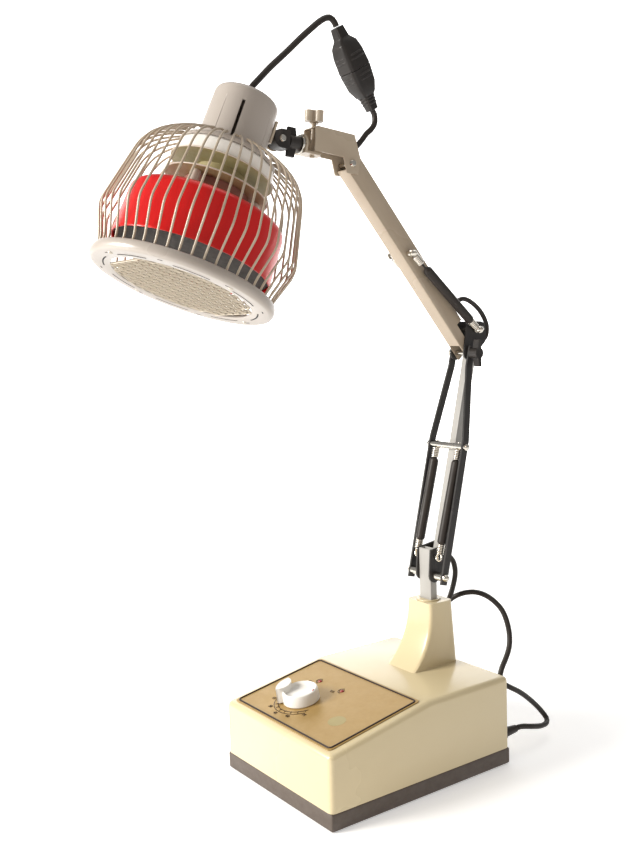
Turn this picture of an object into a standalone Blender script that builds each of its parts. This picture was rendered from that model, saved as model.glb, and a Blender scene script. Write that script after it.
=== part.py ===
"""Desk far-infrared mineral therapy lamp: wedge base, spring-balanced arm and caged heater head.

Metres, +Z up. The origin is the bottom centre of the base, whose control panel faces -Y.
"""

import math

import bmesh
import bpy
from mathutils import Matrix, Vector

# ---- driving dimensions -------------------------------------------------------------------
GAP = 0.0003             # clearance between pieces that rest on each other
RUN = 0.0005             # clearance between pieces that turn past each other
CORD_GAP = 0.0008        # between a cord's end and what it goes into

BASE_WIDTH = 0.1966      # X
BASE_LENGTH = 0.250      # Y
TRAY_HEIGHT = 0.0183
FRONT_HEIGHT = 0.0779    # top of the housing at its front edge
REAR_HEIGHT = 0.1009     # top of the flat part behind the crease
CREASE_Y = 0.0075        # where the sloped panel meets the flat top
SHELL_WALL = 0.0025
SHELL_EDGE = 0.006       # rounding of the housing's edges

PANEL_HALF_WIDTH = 0.089
PANEL_FRONT_SETBACK = 0.0062
PANEL_REAR_SETBACK = 0.0065
PANEL_THICKNESS = 0.0008
KNOB_RADIUS = 0.0205
KNOB_HEIGHT = 0.016
KNOB_X = -0.022
KNOB_BACK = 0.046        # along the slope, from the panel's front edge
SHAFT_RADIUS = 0.0030
LAMP_RADIUS = 0.003
GLAND_X = 0.0840         # cord gland and mains inlet on the rear wall
GLAND_Z = 0.0290
GLAND_RADIUS = 0.0065
INLET_X = -0.045
INLET_Z = 0.050
INLET_HALF_WIDTH = 0.0135
INLET_HALF_HEIGHT = 0.0100

PEDESTAL_TOP = 0.1744
PEDESTAL_HALF_TOP = 0.0203
PEDESTAL_HALF_FOOT = 0.0240
PEDESTAL_FRONT_TOP = 0.0799
PEDESTAL_FRONT_FOOT = 0.0500
PEDESTAL_REAR_TOP = 0.1143
PEDESTAL_REAR_FOOT = 0.1175

POST_Y = 0.0955
POST_WIDTH = 0.0196      # X
POST_DEPTH = 0.0098      # Y
POST_TOP = 0.2352
POST_BOTTOM = 0.120
POST_WALL = 0.0012
COLLAR_RADIUS = 0.0135
COLLAR_HEIGHT = 0.010

ARM_FOOT = Vector((0, 0.0955, 0.2046))      # lower pivot of the bars
LOWER_LEAN = math.radians(13.4)             # backwards, from vertical
LOWER_LENGTH = 0.2616                       # lower pivot to elbow bolt
LINK_BACK = 0.0190                          # rear link pivots from the bars' pivots
LINK_UP = 0.0276
ROD_UP = 0.1516                             # cross rod along the bars
BAR_HALF = 0.0045
BAR_THICKNESS = 0.0025
BAR_LOW_GAP = 0.01465                       # from the bracket's plate out to its bar
BAR_HIGH_GAP = 0.00145                      # and from the elbow's plate
PIN_RADIUS = 0.0025
PLATE_THICKNESS = 0.0018
HOOK_BACK = 0.0008                          # spring hook holes on the post bracket
HOOK_UP = 0.0220
LOWER_SPRING_X = 0.0185
LOWER_SPRING_SHORT = 0.0055                 # how far each spring stops short of its upper pin
SPRING_RADIUS = 0.0053
LINK_WIDTH = 0.0100
LINK_DEPTH = 0.0116

UPPER_LEAN = math.radians(39.5)             # forwards, from vertical
UPPER_LENGTH = 0.2620                       # elbow bolt to the tube's upper end
UPPER_WIDTH = 0.0190
UPPER_DEPTH = 0.0222
UPPER_BACK = 0.0070
UPPER_WALL = 0.0012
UPPER_PIN_UP = 0.1440
UPPER_PIN_BACK = 0.0035
ANCHOR_BACK = 0.0090                        # spring anchor pin from the elbow bolt
ANCHOR_UP = 0.0270
UPPER_SPRING_X = 0.0175
UPPER_SPRING_SHORT = 0.0145

BRACKET_PITCH = math.radians(6.5)           # front end upwards
CORNER_FROM_TIP = Vector((0, 0.0038, 0.0289))   # its upper rear corner from the arm's upper end
BRACKET_FRONT = 0.0530
BRACKET_HEIGHT = 0.0255
BRACKET_WALL = 0.0014
SWIVEL_BACK = 0.0485                        # thumb screw from the corner
STUD_DROP = 0.0200
KNUCKLE_OUT = 0.0910
KNUCKLE_RADIUS = 0.0095
KNUCKLE_HALF = 0.0080
BRACKET_BOLT = Vector((0, -0.0035, -0.0300))
YOKE_FACE = 0.0634                          # front of the yoke's upright, from the corner
YOKE_LOW = -0.0290
YOKE_THICKNESS = 0.0025
STUD_RADIUS = 0.0030

HEAD_LEAN = math.radians(24.15)             # top backwards
KNUCKLE_Y = 0.0467                          # knuckle pin from the middle of the guard's lower face
KNUCKLE_Z = 0.1848
SADDLE_Y = 0.0340
RING_RADIUS = 0.0921
RING_FACE_RADIUS = 0.0887
RING_HEIGHT = 0.0111
GRILLE_RADIUS = 0.0713
GRILLE_PITCH = 0.0190
GRILLE_BAR = 0.0026
CAGE_WIRES = 48
CAGE_WIRE = 0.0021
CAGE_PROFILE = ((0.0868, 0.0062), (0.0866, 0.0150), (0.0987, 0.0505), (0.0842, 0.1170),
                (0.0770, 0.1290), (0.0660, 0.1375), (0.0520, 0.1445), (0.0480, 0.1460))
CUP_RADIUS = 0.0795
CUP_BOTTOM = 0.0280
CUP_TOP = 0.0835
CUP_WALL = 0.0012
PLATE_CLEARANCE = 0.0023    # between the mineral plate's top edge and the cup's wall
SHIELD_RADIUS = 0.0515
LOWER_SHIELD_AT = 0.1050
UPPER_SHIELD_AT = 0.1225
DRUM_RADIUS = 0.0490
DRUM_BOTTOM = 0.1245
DRUM_TOP = 0.1385
STANDOFF_CIRCLE = 0.0400
CAP_RADIUS = 0.0345
CAP_TOP_RADIUS = 0.0326
CAP_BOTTOM = 0.1392
CAP_TOP = 0.2043
CAP_WALL = 0.0012

CORD_DIAMETER = 0.0062
HEAD_CORD_DIAMETER = 0.0066
CONNECTOR_TOP = Vector((0, -0.0145, 0.1105))    # from the bracket's upper rear corner
CONNECTOR_END = Vector((0, 0.0305, 0.0310))

# ---- cord routes, each point chosen by hand ------------------------------------------------
# from the bracket's upper rear corner
HEAD_CORD_ROUTE = ((0, -0.1162, 0.0444), (0, -0.0987, 0.0609), (0, -0.0787, 0.0779),
                   (0, -0.0605, 0.0940), (0, -0.0447, 0.1070), (0, -0.0352, 0.1143),
                   (0, -0.0275, 0.1184), (0, -0.0222, 0.1190))
LEAD_ROUTE = ((0, 0.0333, 0.0172), (0, 0.0283, 0.0104), (0, 0.0218, 0.0054), (0, 0.0163, -0.0006),
              (0, 0.0098, -0.0071), (0, 0.0038, -0.0116))
# from the elbow bolt
ELBOW_ROUTE = ((0, -0.0160, 0.0515), (0, -0.0116, 0.0554), (0, -0.0046, 0.0614),
               (0, 0.0059, 0.0629), (0, 0.0199, 0.0569), (0, 0.0329, 0.0459), (0, 0.0409, 0.0319),
               (0, 0.0399, 0.0194), (0, 0.0324, 0.0124), (0, 0.0231, 0.0099))
# from the base's rear edge
SUPPLY_ROUTE = ((0, -0.0015, 0.2215), (0, 0.0050, 0.2190), (0, 0.0115, 0.2110),
                (0, 0.0138, 0.1980), (-0.0010, 0.0115, 0.1840), (-0.0030, 0.0075, 0.1700),
                (-0.0080, 0.0050, 0.1570), (-0.0165, 0.0050, 0.1455), (-0.0260, 0.0080, 0.1375),
                (-0.0340, 0.0145, 0.1350), (-0.0355, 0.0220, 0.1390), (-0.0300, 0.0240, 0.1475),
                (-0.0210, 0.0205, 0.1565), (-0.0120, 0.0178, 0.1629), (-0.0050, 0.0205, 0.1680),
                (0.0040, 0.0255, 0.1722), (0.0140, 0.0323, 0.1737), (0.0250, 0.0379, 0.1713),
                (0.0360, 0.0416, 0.1655), (0.0460, 0.0445, 0.1562), (0.0530, 0.0453, 0.1431),
                (0.0580, 0.0440, 0.1280), (0.0615, 0.0390, 0.1150), (0.0630, 0.0315, 0.1040),
                (0.0640, 0.0240, 0.0945), (0.0650, 0.0205, 0.0850), (0.0670, 0.0240, 0.0775),
                (0.0690, 0.0335, 0.0710), (0.0690, 0.0475, 0.0625), (0.0680, 0.0630, 0.0510),
                (0.0680, 0.0780, 0.0375), (0.0705, 0.0860, 0.0275), (0.0755, 0.0870, 0.0215),
                (0.0810, 0.0795, 0.0195), (0.0845, 0.0660, 0.0210), (0.0855, 0.0500, 0.0250),
                (0.0845, 0.0380, 0.0280))

# ---- values worked out from the ones above --------------------------------------------------
SLOPE = math.atan2(REAR_HEIGHT - FRONT_HEIGHT, CREASE_Y + BASE_LENGTH / 2)
SLOPE_LENGTH = math.hypot(REAR_HEIGHT - FRONT_HEIGHT, CREASE_Y + BASE_LENGTH / 2)
PANEL_LENGTH = SLOPE_LENGTH - PANEL_FRONT_SETBACK - PANEL_REAR_SETBACK
KNOB_AT = Vector((KNOB_X, PANEL_FRONT_SETBACK + KNOB_BACK, 0))
LAMPS_AT = (Vector((-0.041, PANEL_FRONT_SETBACK + 0.0855, 0)),
            Vector((0, PANEL_FRONT_SETBACK + 0.0855, 0)))
LOWER_AXIS = Vector((0, math.sin(LOWER_LEAN), math.cos(LOWER_LEAN)))
ELBOW = ARM_FOOT + LOWER_LENGTH * LOWER_AXIS
LINK_FOOT = ARM_FOOT + Vector((0, LINK_BACK, LINK_UP))
HOOK = ARM_FOOT + Vector((0, HOOK_BACK, HOOK_UP))
ROD = ARM_FOOT + ROD_UP * LOWER_AXIS
ANCHOR = ELBOW + Vector((0, ANCHOR_BACK, ANCHOR_UP))
UPPER_PIN = ELBOW + Matrix.Rotation(UPPER_LEAN, 3, "X") @ Vector((0, UPPER_PIN_BACK, UPPER_PIN_UP))
PLATE_IN = POST_WIDTH / 2 + GAP              # bracket and elbow plates, inner face
PLATE_OUT = PLATE_IN + PLATE_THICKNESS
BAR_LOW_IN = PLATE_OUT + BAR_LOW_GAP
BAR_LOW_X = BAR_LOW_IN + BAR_THICKNESS / 2   # middle of a bar below the knee
BAR_LOW_OUT = BAR_LOW_IN + BAR_THICKNESS
BAR_HIGH_X = PLATE_OUT + BAR_HIGH_GAP + BAR_THICKNESS / 2
BAR_HIGH_OUT = BAR_HIGH_X + BAR_THICKNESS / 2
BRACKET_HALF = UPPER_WIDTH / 2 + GAP + BRACKET_WALL
BRACKET_CORNER = (ELBOW + CORNER_FROM_TIP
                  + Matrix.Rotation(UPPER_LEAN, 3, "X") @ Vector((0, UPPER_BACK, UPPER_LENGTH)))
IN_BRACKET = Matrix.Rotation(-BRACKET_PITCH, 3, "X")
KNUCKLE = BRACKET_CORNER + IN_BRACKET @ Vector((0, -KNUCKLE_OUT, -STUD_DROP))
HEAD_FOOT = KNUCKLE - Matrix.Rotation(-HEAD_LEAN, 3, "X") @ Vector((0, KNUCKLE_Y, KNUCKLE_Z))
PLATE_RADIUS = CUP_RADIUS - CUP_WALL - PLATE_CLEARANCE

FINISHES = {
    "cream_plastic": ((0.86, 0.80, 0.62), 0.30, 0.0),
    "dark_tray": ((0.10, 0.085, 0.07), 0.65, 0.0),
    "gold_sticker": ((0.62, 0.46, 0.22), 0.35, 0.3),
    "white_plastic": ((0.85, 0.84, 0.80), 0.35, 0.0),
    "lamp_red": ((0.45, 0.05, 0.03), 0.20, 0.0),
    "black_plastic": ((0.03, 0.028, 0.025), 0.45, 0.0),
    "black_steel": ((0.035, 0.035, 0.035), 0.40, 0.0),
    "chrome": ((0.75, 0.74, 0.72), 0.15, 1.0),
    "brass": ((0.70, 0.45, 0.20), 0.30, 1.0),
    "grey_paint": ((0.74, 0.73, 0.69), 0.40, 0.0),
    "cream_paint": ((0.78, 0.72, 0.60), 0.40, 0.0),
    "zinc": ((0.60, 0.66, 0.66), 0.35, 1.0),
    "red_anodised": ((0.62, 0.03, 0.02), 0.25, 0.9),
    "olive_board": ((0.32, 0.29, 0.16), 0.55, 0.0),
    "mineral": ((0.08, 0.06, 0.05), 0.85, 0.0),
    "ceramic": ((0.85, 0.84, 0.80), 0.50, 0.0),
    "iron": ((0.20, 0.20, 0.20), 0.60, 1.0),
    "rubber": ((0.05, 0.045, 0.04), 0.60, 0.0),
}

for old in list(bpy.data.objects):
    bpy.data.objects.remove(old, do_unlink=True)
parts = bpy.data.collections.new("mineral_therapy_lamp")
cutters = bpy.data.collections.new("cutters")
bpy.context.scene.collection.children.link(parts)
bpy.context.scene.collection.children.link(cutters)


# ---- helpers --------------------------------------------------------------------------------
def finish(name):
    made = bpy.data.materials.get(name)
    if made is None:
        colour, roughness, metallic = FINISHES[name]
        made = bpy.data.materials.new(name)
        made.use_nodes = True
        shader = made.node_tree.nodes["Principled BSDF"]
        shader.inputs["Base Color"].default_value = (*colour, 1)
        shader.inputs["Roughness"].default_value = roughness
        shader.inputs["Metallic"].default_value = metallic
    return made


def frame(name, at=(0, 0, 0), lean=0.0, parent=None):
    """An empty on a joint's axis. A positive lean turns +Z towards -Y."""
    empty = bpy.data.objects.new(name, None)
    empty.empty_display_size = 0.02
    world = Matrix.Translation(at) @ Matrix.Rotation(lean, 4, "X")
    if parent is not None:
        empty.parent = parent
    empty.matrix_basis = world if parent is None else world_of(parent).inverted() @ world
    parts.objects.link(empty)
    return empty


def world_of(empty):
    here = empty.matrix_basis.copy()
    while empty.parent is not None:
        empty = empty.parent
        here = empty.matrix_basis @ here
    return here


def add(name, shape, material, body, smooth=35, cutter=False):
    """Makes an object from a bmesh or a mesh, in the frame of its body."""
    if isinstance(shape, bmesh.types.BMesh):
        mesh = bpy.data.meshes.new(name)
        shape.to_mesh(mesh)
        shape.free()
    else:
        mesh = shape
    made = bpy.data.objects.new(name, mesh)
    made.parent = body
    if cutter:
        cutters.objects.link(made)
        made.hide_render = True
        made.display_type = "WIRE"
    else:
        parts.objects.link(made)
        mesh.materials.append(finish(material))
        mesh.shade_smooth()
        mesh.set_sharp_from_angle(angle=math.radians(smooth))
    return made


def box(low, high, into=None):
    made = into or bmesh.new()
    low, high = Vector(low), Vector(high)
    size = Matrix.Diagonal((*(high - low), 1))
    bmesh.ops.create_cube(made, size=1, matrix=Matrix.Translation((low + high) / 2) @ size)
    return made


def rod(axis, radius, start, end, at=(0, 0, 0), sides=20, into=None, radius_end=None):
    """A cylinder or cone along X, Y or Z, from start to end on that axis, through the point at."""
    made = into or bmesh.new()
    turn = {"X": Matrix.Rotation(math.pi / 2, 4, "Y"), "Z": Matrix.Identity(4),
            "Y": Matrix.Rotation(-math.pi / 2, 4, "X")}[axis]
    along = {"X": Vector((1, 0, 0)), "Y": Vector((0, 1, 0)), "Z": Vector((0, 0, 1))}[axis]
    middle = Vector(at) + along * (start + end) / 2
    bmesh.ops.create_cone(made, cap_ends=True, segments=sides, radius1=radius,
                          radius2=radius if radius_end is None else radius_end,
                          depth=end - start, matrix=Matrix.Translation(middle) @ turn)
    return made


def turned(name, profile, material, body, steps=24, axis="Z", at=(0, 0, 0), ring=False):
    """A profile of (radius, height), listed down its outer side, turned about its axis."""
    mesh = bpy.data.meshes.new(name)
    count = len(profile)
    edges = [(i, i + 1) for i in range(count - 1)] + ([(count - 1, 0)] if ring else [])
    mesh.from_pydata([(r, 0, z) for r, z in profile], edges, [])
    made = add(name, mesh, material, body)
    made.location = at
    if axis == "X":
        made.rotation_euler = (0, math.pi / 2, 0)
    elif axis == "Y":
        made.rotation_euler = (-math.pi / 2, 0, 0)
    screw = made.modifiers.new("turn", "SCREW")
    screw.axis = "Z"
    screw.steps = screw.render_steps = steps
    screw.use_merge_vertices = True
    screw.merge_threshold = 0.00001
    return made


def arc(centre, radius, start, end, count=8):
    """Points round part of a circle, with the angles in degrees."""
    angles = [math.radians(start + (end - start) * i / (count - 1)) for i in range(count)]
    return [(centre[0] + radius * math.cos(a), centre[1] + radius * math.sin(a)) for a in angles]


def circle(centre, radius, count=16):
    return arc(centre, radius, 0, 360 - 360 / count, count)


def slab(outlines, half):
    """A flat piece as a mesh: the first outline less the ones inside it, half its thickness."""
    curve = bpy.data.curves.new("slab", "CURVE")
    curve.dimensions = "2D"
    curve.fill_mode = "BOTH"
    curve.extrude = half
    for outline in outlines:
        spline = curve.splines.new("POLY")
        spline.points.add(len(outline) - 1)
        for point, (u, v) in zip(spline.points, outline):
            point.co = (u, v, 0, 1)
        spline.use_cyclic_u = True
    made = bpy.data.objects.new("slab", curve)
    bpy.context.scene.collection.objects.link(made)
    graph = bpy.context.evaluated_depsgraph_get()
    mesh = bpy.data.meshes.new_from_object(made.evaluated_get(graph))
    bpy.data.objects.remove(made)
    edit = bmesh.new()
    edit.from_mesh(mesh)
    bmesh.ops.remove_doubles(edit, verts=edit.verts, dist=0.00001)
    bmesh.ops.recalc_face_normals(edit, faces=edit.faces)
    edit.to_mesh(mesh)
    edit.free()
    return mesh


SIDEWAYS = Matrix(((0, 0, 1, 0), (1, 0, 0, 0), (0, 1, 0, 0), (0, 0, 0, 1)))   # outline in Y and Z


def side_plate(name, outlines, middle, thickness, material, body):
    """A flat piece whose outline lies in Y and Z, with its middle at x."""
    mesh = slab(outlines, thickness / 2)
    mesh.transform(Matrix.Translation((middle, 0, 0)) @ SIDEWAYS)
    return add(name, mesh, material, body)


def loft(sections, into=None):
    """A closed skin through rings of points that all have the same count."""
    made = into or bmesh.new()
    rings = [[made.verts.new(p) for p in ring] for ring in sections]
    count = len(rings[0])
    for low, high in zip(rings, rings[1:]):
        for i in range(count):
            j = (i + 1) % count
            made.faces.new((low[i], low[j], high[j], high[i]))
    made.faces.new(list(reversed(rings[0])))
    made.faces.new(rings[-1])
    bmesh.ops.recalc_face_normals(made, faces=made.faces)
    return made


def boolean(target, other, operation="DIFFERENCE"):
    step = target.modifiers.new(operation.lower(), "BOOLEAN")
    step.operation = operation
    step.solver = "EXACT"
    step.object = other


def cut(target, shape, name, body):
    boolean(target, add(name, shape, None, body, cutter=True))


def fuse(target, shape, name, body):
    boolean(target, add(name, shape, None, body, cutter=True), "UNION")


def smooth_route(route, spacing):
    """Points at even spacing on a smooth curve through the route's points."""
    route = [Vector(p) for p in route]
    ends = [2 * route[0] - route[1], *route, 2 * route[-1] - route[-2]]
    fine = []
    for a, b, c, d in zip(ends, ends[1:], ends[2:], ends[3:]):
        for step in range(24):
            t = step / 24
            fine.append(0.5 * (2 * b + (c - a) * t + (2 * a - 5 * b + 4 * c - d) * t ** 2
                               + (3 * b - a - 3 * c + d) * t ** 3))
    fine.append(route[-1])
    lengths = [0.0]
    for p, q in zip(fine, fine[1:]):
        lengths.append(lengths[-1] + (q - p).length)
    count = max(3, round(lengths[-1] / spacing))
    points, at = [], 0
    for i in range(count + 1):
        want = lengths[-1] * i / count
        while at < len(fine) - 2 and lengths[at + 1] < want:
            at += 1
        share = (want - lengths[at]) / max(lengths[at + 1] - lengths[at], 1e-9)
        points.append(fine[at].lerp(fine[at + 1], min(share, 1.0)))
    return points


def from_point(start, route):
    return [start + Vector(point) for point in route]


def cord(name, route, diameter, spacing=1.2):
    curve = bpy.data.curves.new(name, "CURVE")
    curve.dimensions = "3D"
    curve.bevel_depth = diameter / 2
    curve.bevel_resolution = 2
    curve.use_fill_caps = True
    spline = curve.splines.new("POLY")
    points = smooth_route(route, spacing * diameter)
    spline.points.add(len(points) - 1)
    for point, place in zip(spline.points, points):
        point.co = (*place, 1)
    curve.materials.append(finish("rubber"))
    made = bpy.data.objects.new(name, curve)
    parts.objects.link(made)
    return made


def pin_profile(half, radius, nut, nut_length, sleeves=()):
    """A turned pin with a domed nut on each end and wider sleeves between, as (radius, height)."""
    upper = [(0, half), (nut * 0.45, half - nut * 0.15), (nut * 0.8, half - nut * 0.55),
             (nut, half - nut), (nut, half - nut_length), (radius, half - nut_length)]
    for start, end, wide in sorted(sleeves, reverse=True):
        upper += [(radius, end), (wide, end), (wide, start), (radius, start)]
    return upper + [(r, -z) for r, z in reversed(upper)]


def wing_knob(name, hub, length, span, body, start, axis_sign=-1):
    """A wing nut on the Y axis of its body, from start outwards."""
    low, high = sorted((start, start + axis_sign * length))
    shape = rod("Y", hub, low, high, sides=18)
    made = add(name, shape, "black_plastic", body)
    wings = bmesh.new()
    inner, outer = (low, high - length * 0.25) if axis_sign < 0 else (low + length * 0.25, high)
    for side in (-1, 1):
        loft([[(-0.0028, inner, side * 0.002), (0.0028, inner, side * 0.002),
               (0.0028, outer, side * 0.002), (-0.0028, outer, side * 0.002)],
              [(-0.0018, inner - 0.001, side * span), (0.0018, inner - 0.001, side * span),
               (0.0018, outer - 0.002, side * span), (-0.0018, outer - 0.002, side * span)]],
             into=wings)
    fuse(made, wings, name + "_wings", body)
    return made


# ---- base -----------------------------------------------------------------------------------
def pedestal_ring(z, inset=0.0):
    """The pedestal's outline at a height: its sides taper and its front flares out in a curve."""
    t = (z - REAR_HEIGHT) / (PEDESTAL_TOP - REAR_HEIGHT)
    half = PEDESTAL_HALF_FOOT + (PEDESTAL_HALF_TOP - PEDESTAL_HALF_FOOT) * t - inset
    front = PEDESTAL_FRONT_TOP - (PEDESTAL_FRONT_TOP - PEDESTAL_FRONT_FOOT) * (1 - t) ** 2.6 + inset
    rear = PEDESTAL_REAR_FOOT + (PEDESTAL_REAR_TOP - PEDESTAL_REAR_FOOT) * t - inset
    edge = 0.0045 - 0.6 * inset
    corners = ((half - edge, front + edge, -90), (half - edge, rear - edge, 0),
               (-half + edge, rear - edge, 90), (-half + edge, front + edge, 180))
    return [(x, y, z) for cx, cy, turn in corners for x, y in arc((cx, cy), edge, turn, turn + 90, 4)]


def pedestal(bottom, top, inset=0.0):
    steps = 8
    heights = [bottom + (top - bottom) * (i / steps) for i in range(steps + 1)]
    return loft([pedestal_ring(z, inset) for z in heights])


def wedge(inset, bottom):
    """The housing's wedge, closed below, inset from its outer faces."""
    half = BASE_WIDTH / 2 - inset
    front, rear = -BASE_LENGTH / 2 + inset, BASE_LENGTH / 2 - inset
    side = [(front, bottom), (rear, bottom), (rear, REAR_HEIGHT - inset),
            (CREASE_Y, REAR_HEIGHT - inset), (front, FRONT_HEIGHT - inset)]
    made = loft([[(x, y, z) for y, z in side] for x in (-half, half)])
    edge = SHELL_EDGE if inset == 0 else SHELL_EDGE - inset / 2
    rounded = [e for e in made.edges if max(v.co.z for v in e.verts) > bottom + 0.001
               and not all(abs(v.co.y - CREASE_Y) < 0.001 for v in e.verts)]
    bmesh.ops.bevel(made, geom=rounded, offset=edge, segments=3, profile=0.5, affect="EDGES")
    return made


def build_base(root, panel_frame):
    tray = add("base_tray", box((-BASE_WIDTH / 2, -BASE_LENGTH / 2, 0),
                                (BASE_WIDTH / 2, BASE_LENGTH / 2, TRAY_HEIGHT)), "dark_tray", root)
    edge = tray.modifiers.new("edge", "BEVEL")
    edge.width, edge.segments = 0.0018, 2
    cut(tray, box((-BASE_WIDTH / 2 + SHELL_WALL, -BASE_LENGTH / 2 + SHELL_WALL, SHELL_WALL),
                  (BASE_WIDTH / 2 - SHELL_WALL, BASE_LENGTH / 2 - SHELL_WALL, TRAY_HEIGHT + 0.01)),
        "tray_inside", root)

    floor = TRAY_HEIGHT + GAP
    housing = add("base_housing", wedge(0, floor), "cream_plastic", root)
    fuse(housing, pedestal(REAR_HEIGHT - 0.004, PEDESTAL_TOP), "pedestal_outside", root)
    cut(housing, wedge(SHELL_WALL, floor - 0.004), "housing_inside", root)
    cut(housing, pedestal(REAR_HEIGHT - 0.006, PEDESTAL_TOP - COLLAR_HEIGHT - 0.002, SHELL_WALL),
        "pedestal_inside", root)
    holes = rod("Z", COLLAR_RADIUS + RUN, PEDESTAL_TOP - COLLAR_HEIGHT - 0.004, PEDESTAL_TOP + 0.004,
                at=(0, POST_Y, 0), sides=32)
    rod("Y", GLAND_RADIUS + GAP, BASE_LENGTH / 2 - 0.006, BASE_LENGTH / 2 + 0.004,
        at=(GLAND_X, 0, GLAND_Z), into=holes)
    box((INLET_X - INLET_HALF_WIDTH - GAP, BASE_LENGTH / 2 - 0.006, INLET_Z - INLET_HALF_HEIGHT - GAP),
        (INLET_X + INLET_HALF_WIDTH + GAP, BASE_LENGTH / 2 + 0.004, INLET_Z + INLET_HALF_HEIGHT + GAP),
        into=holes)
    cut(housing, holes, "housing_holes", root)
    through = rod("Z", SHAFT_RADIUS + RUN, -0.008, 0.008, at=KNOB_AT)
    for place in LAMPS_AT:
        rod("Z", LAMP_RADIUS + GAP, -0.008, 0.008, at=place, into=through, sides=12)
    cut(housing, through, "panel_holes", panel_frame)

    half = PANEL_THICKNESS / 2
    low, high = PANEL_FRONT_SETBACK, PANEL_FRONT_SETBACK + PANEL_LENGTH
    wide, round_ = PANEL_HALF_WIDTH, 0.004
    outline = (arc((wide - round_, low + round_), round_, -90, 0, 5)
               + arc((wide - round_, high - round_), round_, 0, 90, 5)
               + arc((-wide + round_, high - round_), round_, 90, 180, 5)
               + arc((-wide + round_, low + round_), round_, 180, 270, 5))
    openings = [circle(KNOB_AT.xy, SHAFT_RADIUS + RUN)]
    openings += [circle(place.xy, LAMP_RADIUS + GAP, 12) for place in LAMPS_AT]
    sheet = slab([outline, *openings], half)
    sheet.transform(Matrix.Translation((0, 0, GAP + half)))
    add("control_panel", sheet, "gold_sticker", panel_frame)
    for number, place in enumerate(LAMPS_AT, 1):
        r = LAMP_RADIUS
        turned(f"indicator_lamp_{number}", [(0, 0.0030), (r * 0.7, 0.0025), (r, 0.0012), (r, -0.0070),
                                            (0, -0.0070)], "lamp_red", panel_frame, steps=12, at=place)

    module = add("timer_module", box(KNOB_AT + Vector((-0.020, -0.020, -0.034)),
                                     KNOB_AT + Vector((0.020, 0.020, -SHELL_WALL - 0.0012))),
                 "white_plastic", panel_frame)
    cut(module, rod("Z", SHAFT_RADIUS + RUN, -0.0135, 0, at=KNOB_AT), "module_bore", panel_frame)
    gland = [(0, 0.0247), (0.0042, 0.0247), (0.0046, 0.0200), (0.0058, 0.0060), (0.0062, 0.0030),
             (GLAND_RADIUS + 0.0025, 0.0028), (GLAND_RADIUS + 0.0025, GAP), (GLAND_RADIUS, GAP),
             (GLAND_RADIUS, -0.008), (0, -0.008)]
    turned("cord_gland", gland, "rubber", root, steps=20, axis="Y",
           at=(GLAND_X, BASE_LENGTH / 2, GLAND_Z))
    rear = BASE_LENGTH / 2
    inlet = add("mains_inlet", box((INLET_X - INLET_HALF_WIDTH, rear - 0.020, INLET_Z - INLET_HALF_HEIGHT),
                                   (INLET_X + INLET_HALF_WIDTH, rear + 0.001, INLET_Z + INLET_HALF_HEIGHT)),
                "black_plastic", root)
    fuse(inlet, box((INLET_X - INLET_HALF_WIDTH - 0.0035, rear + GAP, INLET_Z - INLET_HALF_HEIGHT - 0.0035),
                    (INLET_X + INLET_HALF_WIDTH + 0.0035, rear + 0.003, INLET_Z + INLET_HALF_HEIGHT + 0.0035)),
         "inlet_flange", root)
    cut(inlet, box((INLET_X - INLET_HALF_WIDTH + 0.002, rear - 0.014, INLET_Z - INLET_HALF_HEIGHT + 0.002),
                   (INLET_X + INLET_HALF_WIDTH - 0.002, rear + 0.005, INLET_Z + INLET_HALF_HEIGHT - 0.002)),
        "inlet_socket", root)


def build_timer_knob(body):
    low = GAP + PANEL_THICKNESS + RUN
    r = KNOB_RADIUS
    knob = turned("timer_knob", [(0, low + KNOB_HEIGHT - 0.002), (r * 0.62, low + KNOB_HEIGHT - 0.002),
                                 (r * 0.86, low + KNOB_HEIGHT * 0.72), (r, low + 0.0045), (r, low),
                                 (SHAFT_RADIUS, low), (SHAFT_RADIUS, -0.0125), (0, -0.0125)],
                  "white_plastic", body, steps=32)
    fuse(knob, box((-0.0040, -r * 0.95, low + 0.004), (0.0040, r * 0.95, low + KNOB_HEIGHT)),
         "knob_grip", body)


# ---- post and its bracket ---------------------------------------------------------------------
def bracket_outline():
    back, up = LINK_BACK, LINK_UP
    return (arc((0, 0), 0.0085, 180, 330, 8) + [(back + 0.0065, up - 0.006)]
            + arc((back, up), 0.0072, -30, 70, 5) + [(HOOK_BACK + 0.004, HOOK_UP + 0.0100)]
            + [(-0.0060, HOOK_UP + 0.0090)])


def build_post(body):
    post = add("post", box((-POST_WIDTH / 2, -POST_DEPTH / 2, POST_BOTTOM - PEDESTAL_TOP),
                           (POST_WIDTH / 2, POST_DEPTH / 2, POST_TOP - PEDESTAL_TOP)), "grey_paint", body)
    edge = post.modifiers.new("edge", "BEVEL")
    edge.width, edge.segments = 0.0010, 2
    inner = box((-POST_WIDTH / 2 + POST_WALL, -POST_DEPTH / 2 + POST_WALL, -0.2),
                (POST_WIDTH / 2 - POST_WALL, POST_DEPTH / 2 - POST_WALL, 0.2))
    cut(post, inner, "post_bore", body)
    cut(post, rod("X", PIN_RADIUS + GAP, -0.02, 0.02, at=(0, 0, ARM_FOOT.z - PEDESTAL_TOP)),
        "post_pin_hole", body)
    collar = add("post_collar", rod("Z", COLLAR_RADIUS, -COLLAR_HEIGHT, 0.0015, sides=32),
                 "cream_plastic", body)
    cut(collar, box((-POST_WIDTH / 2 - GAP, -POST_DEPTH / 2 - GAP, -0.02),
                    (POST_WIDTH / 2 + GAP, POST_DEPTH / 2 + GAP, 0.02)), "collar_slot", body)


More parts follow.
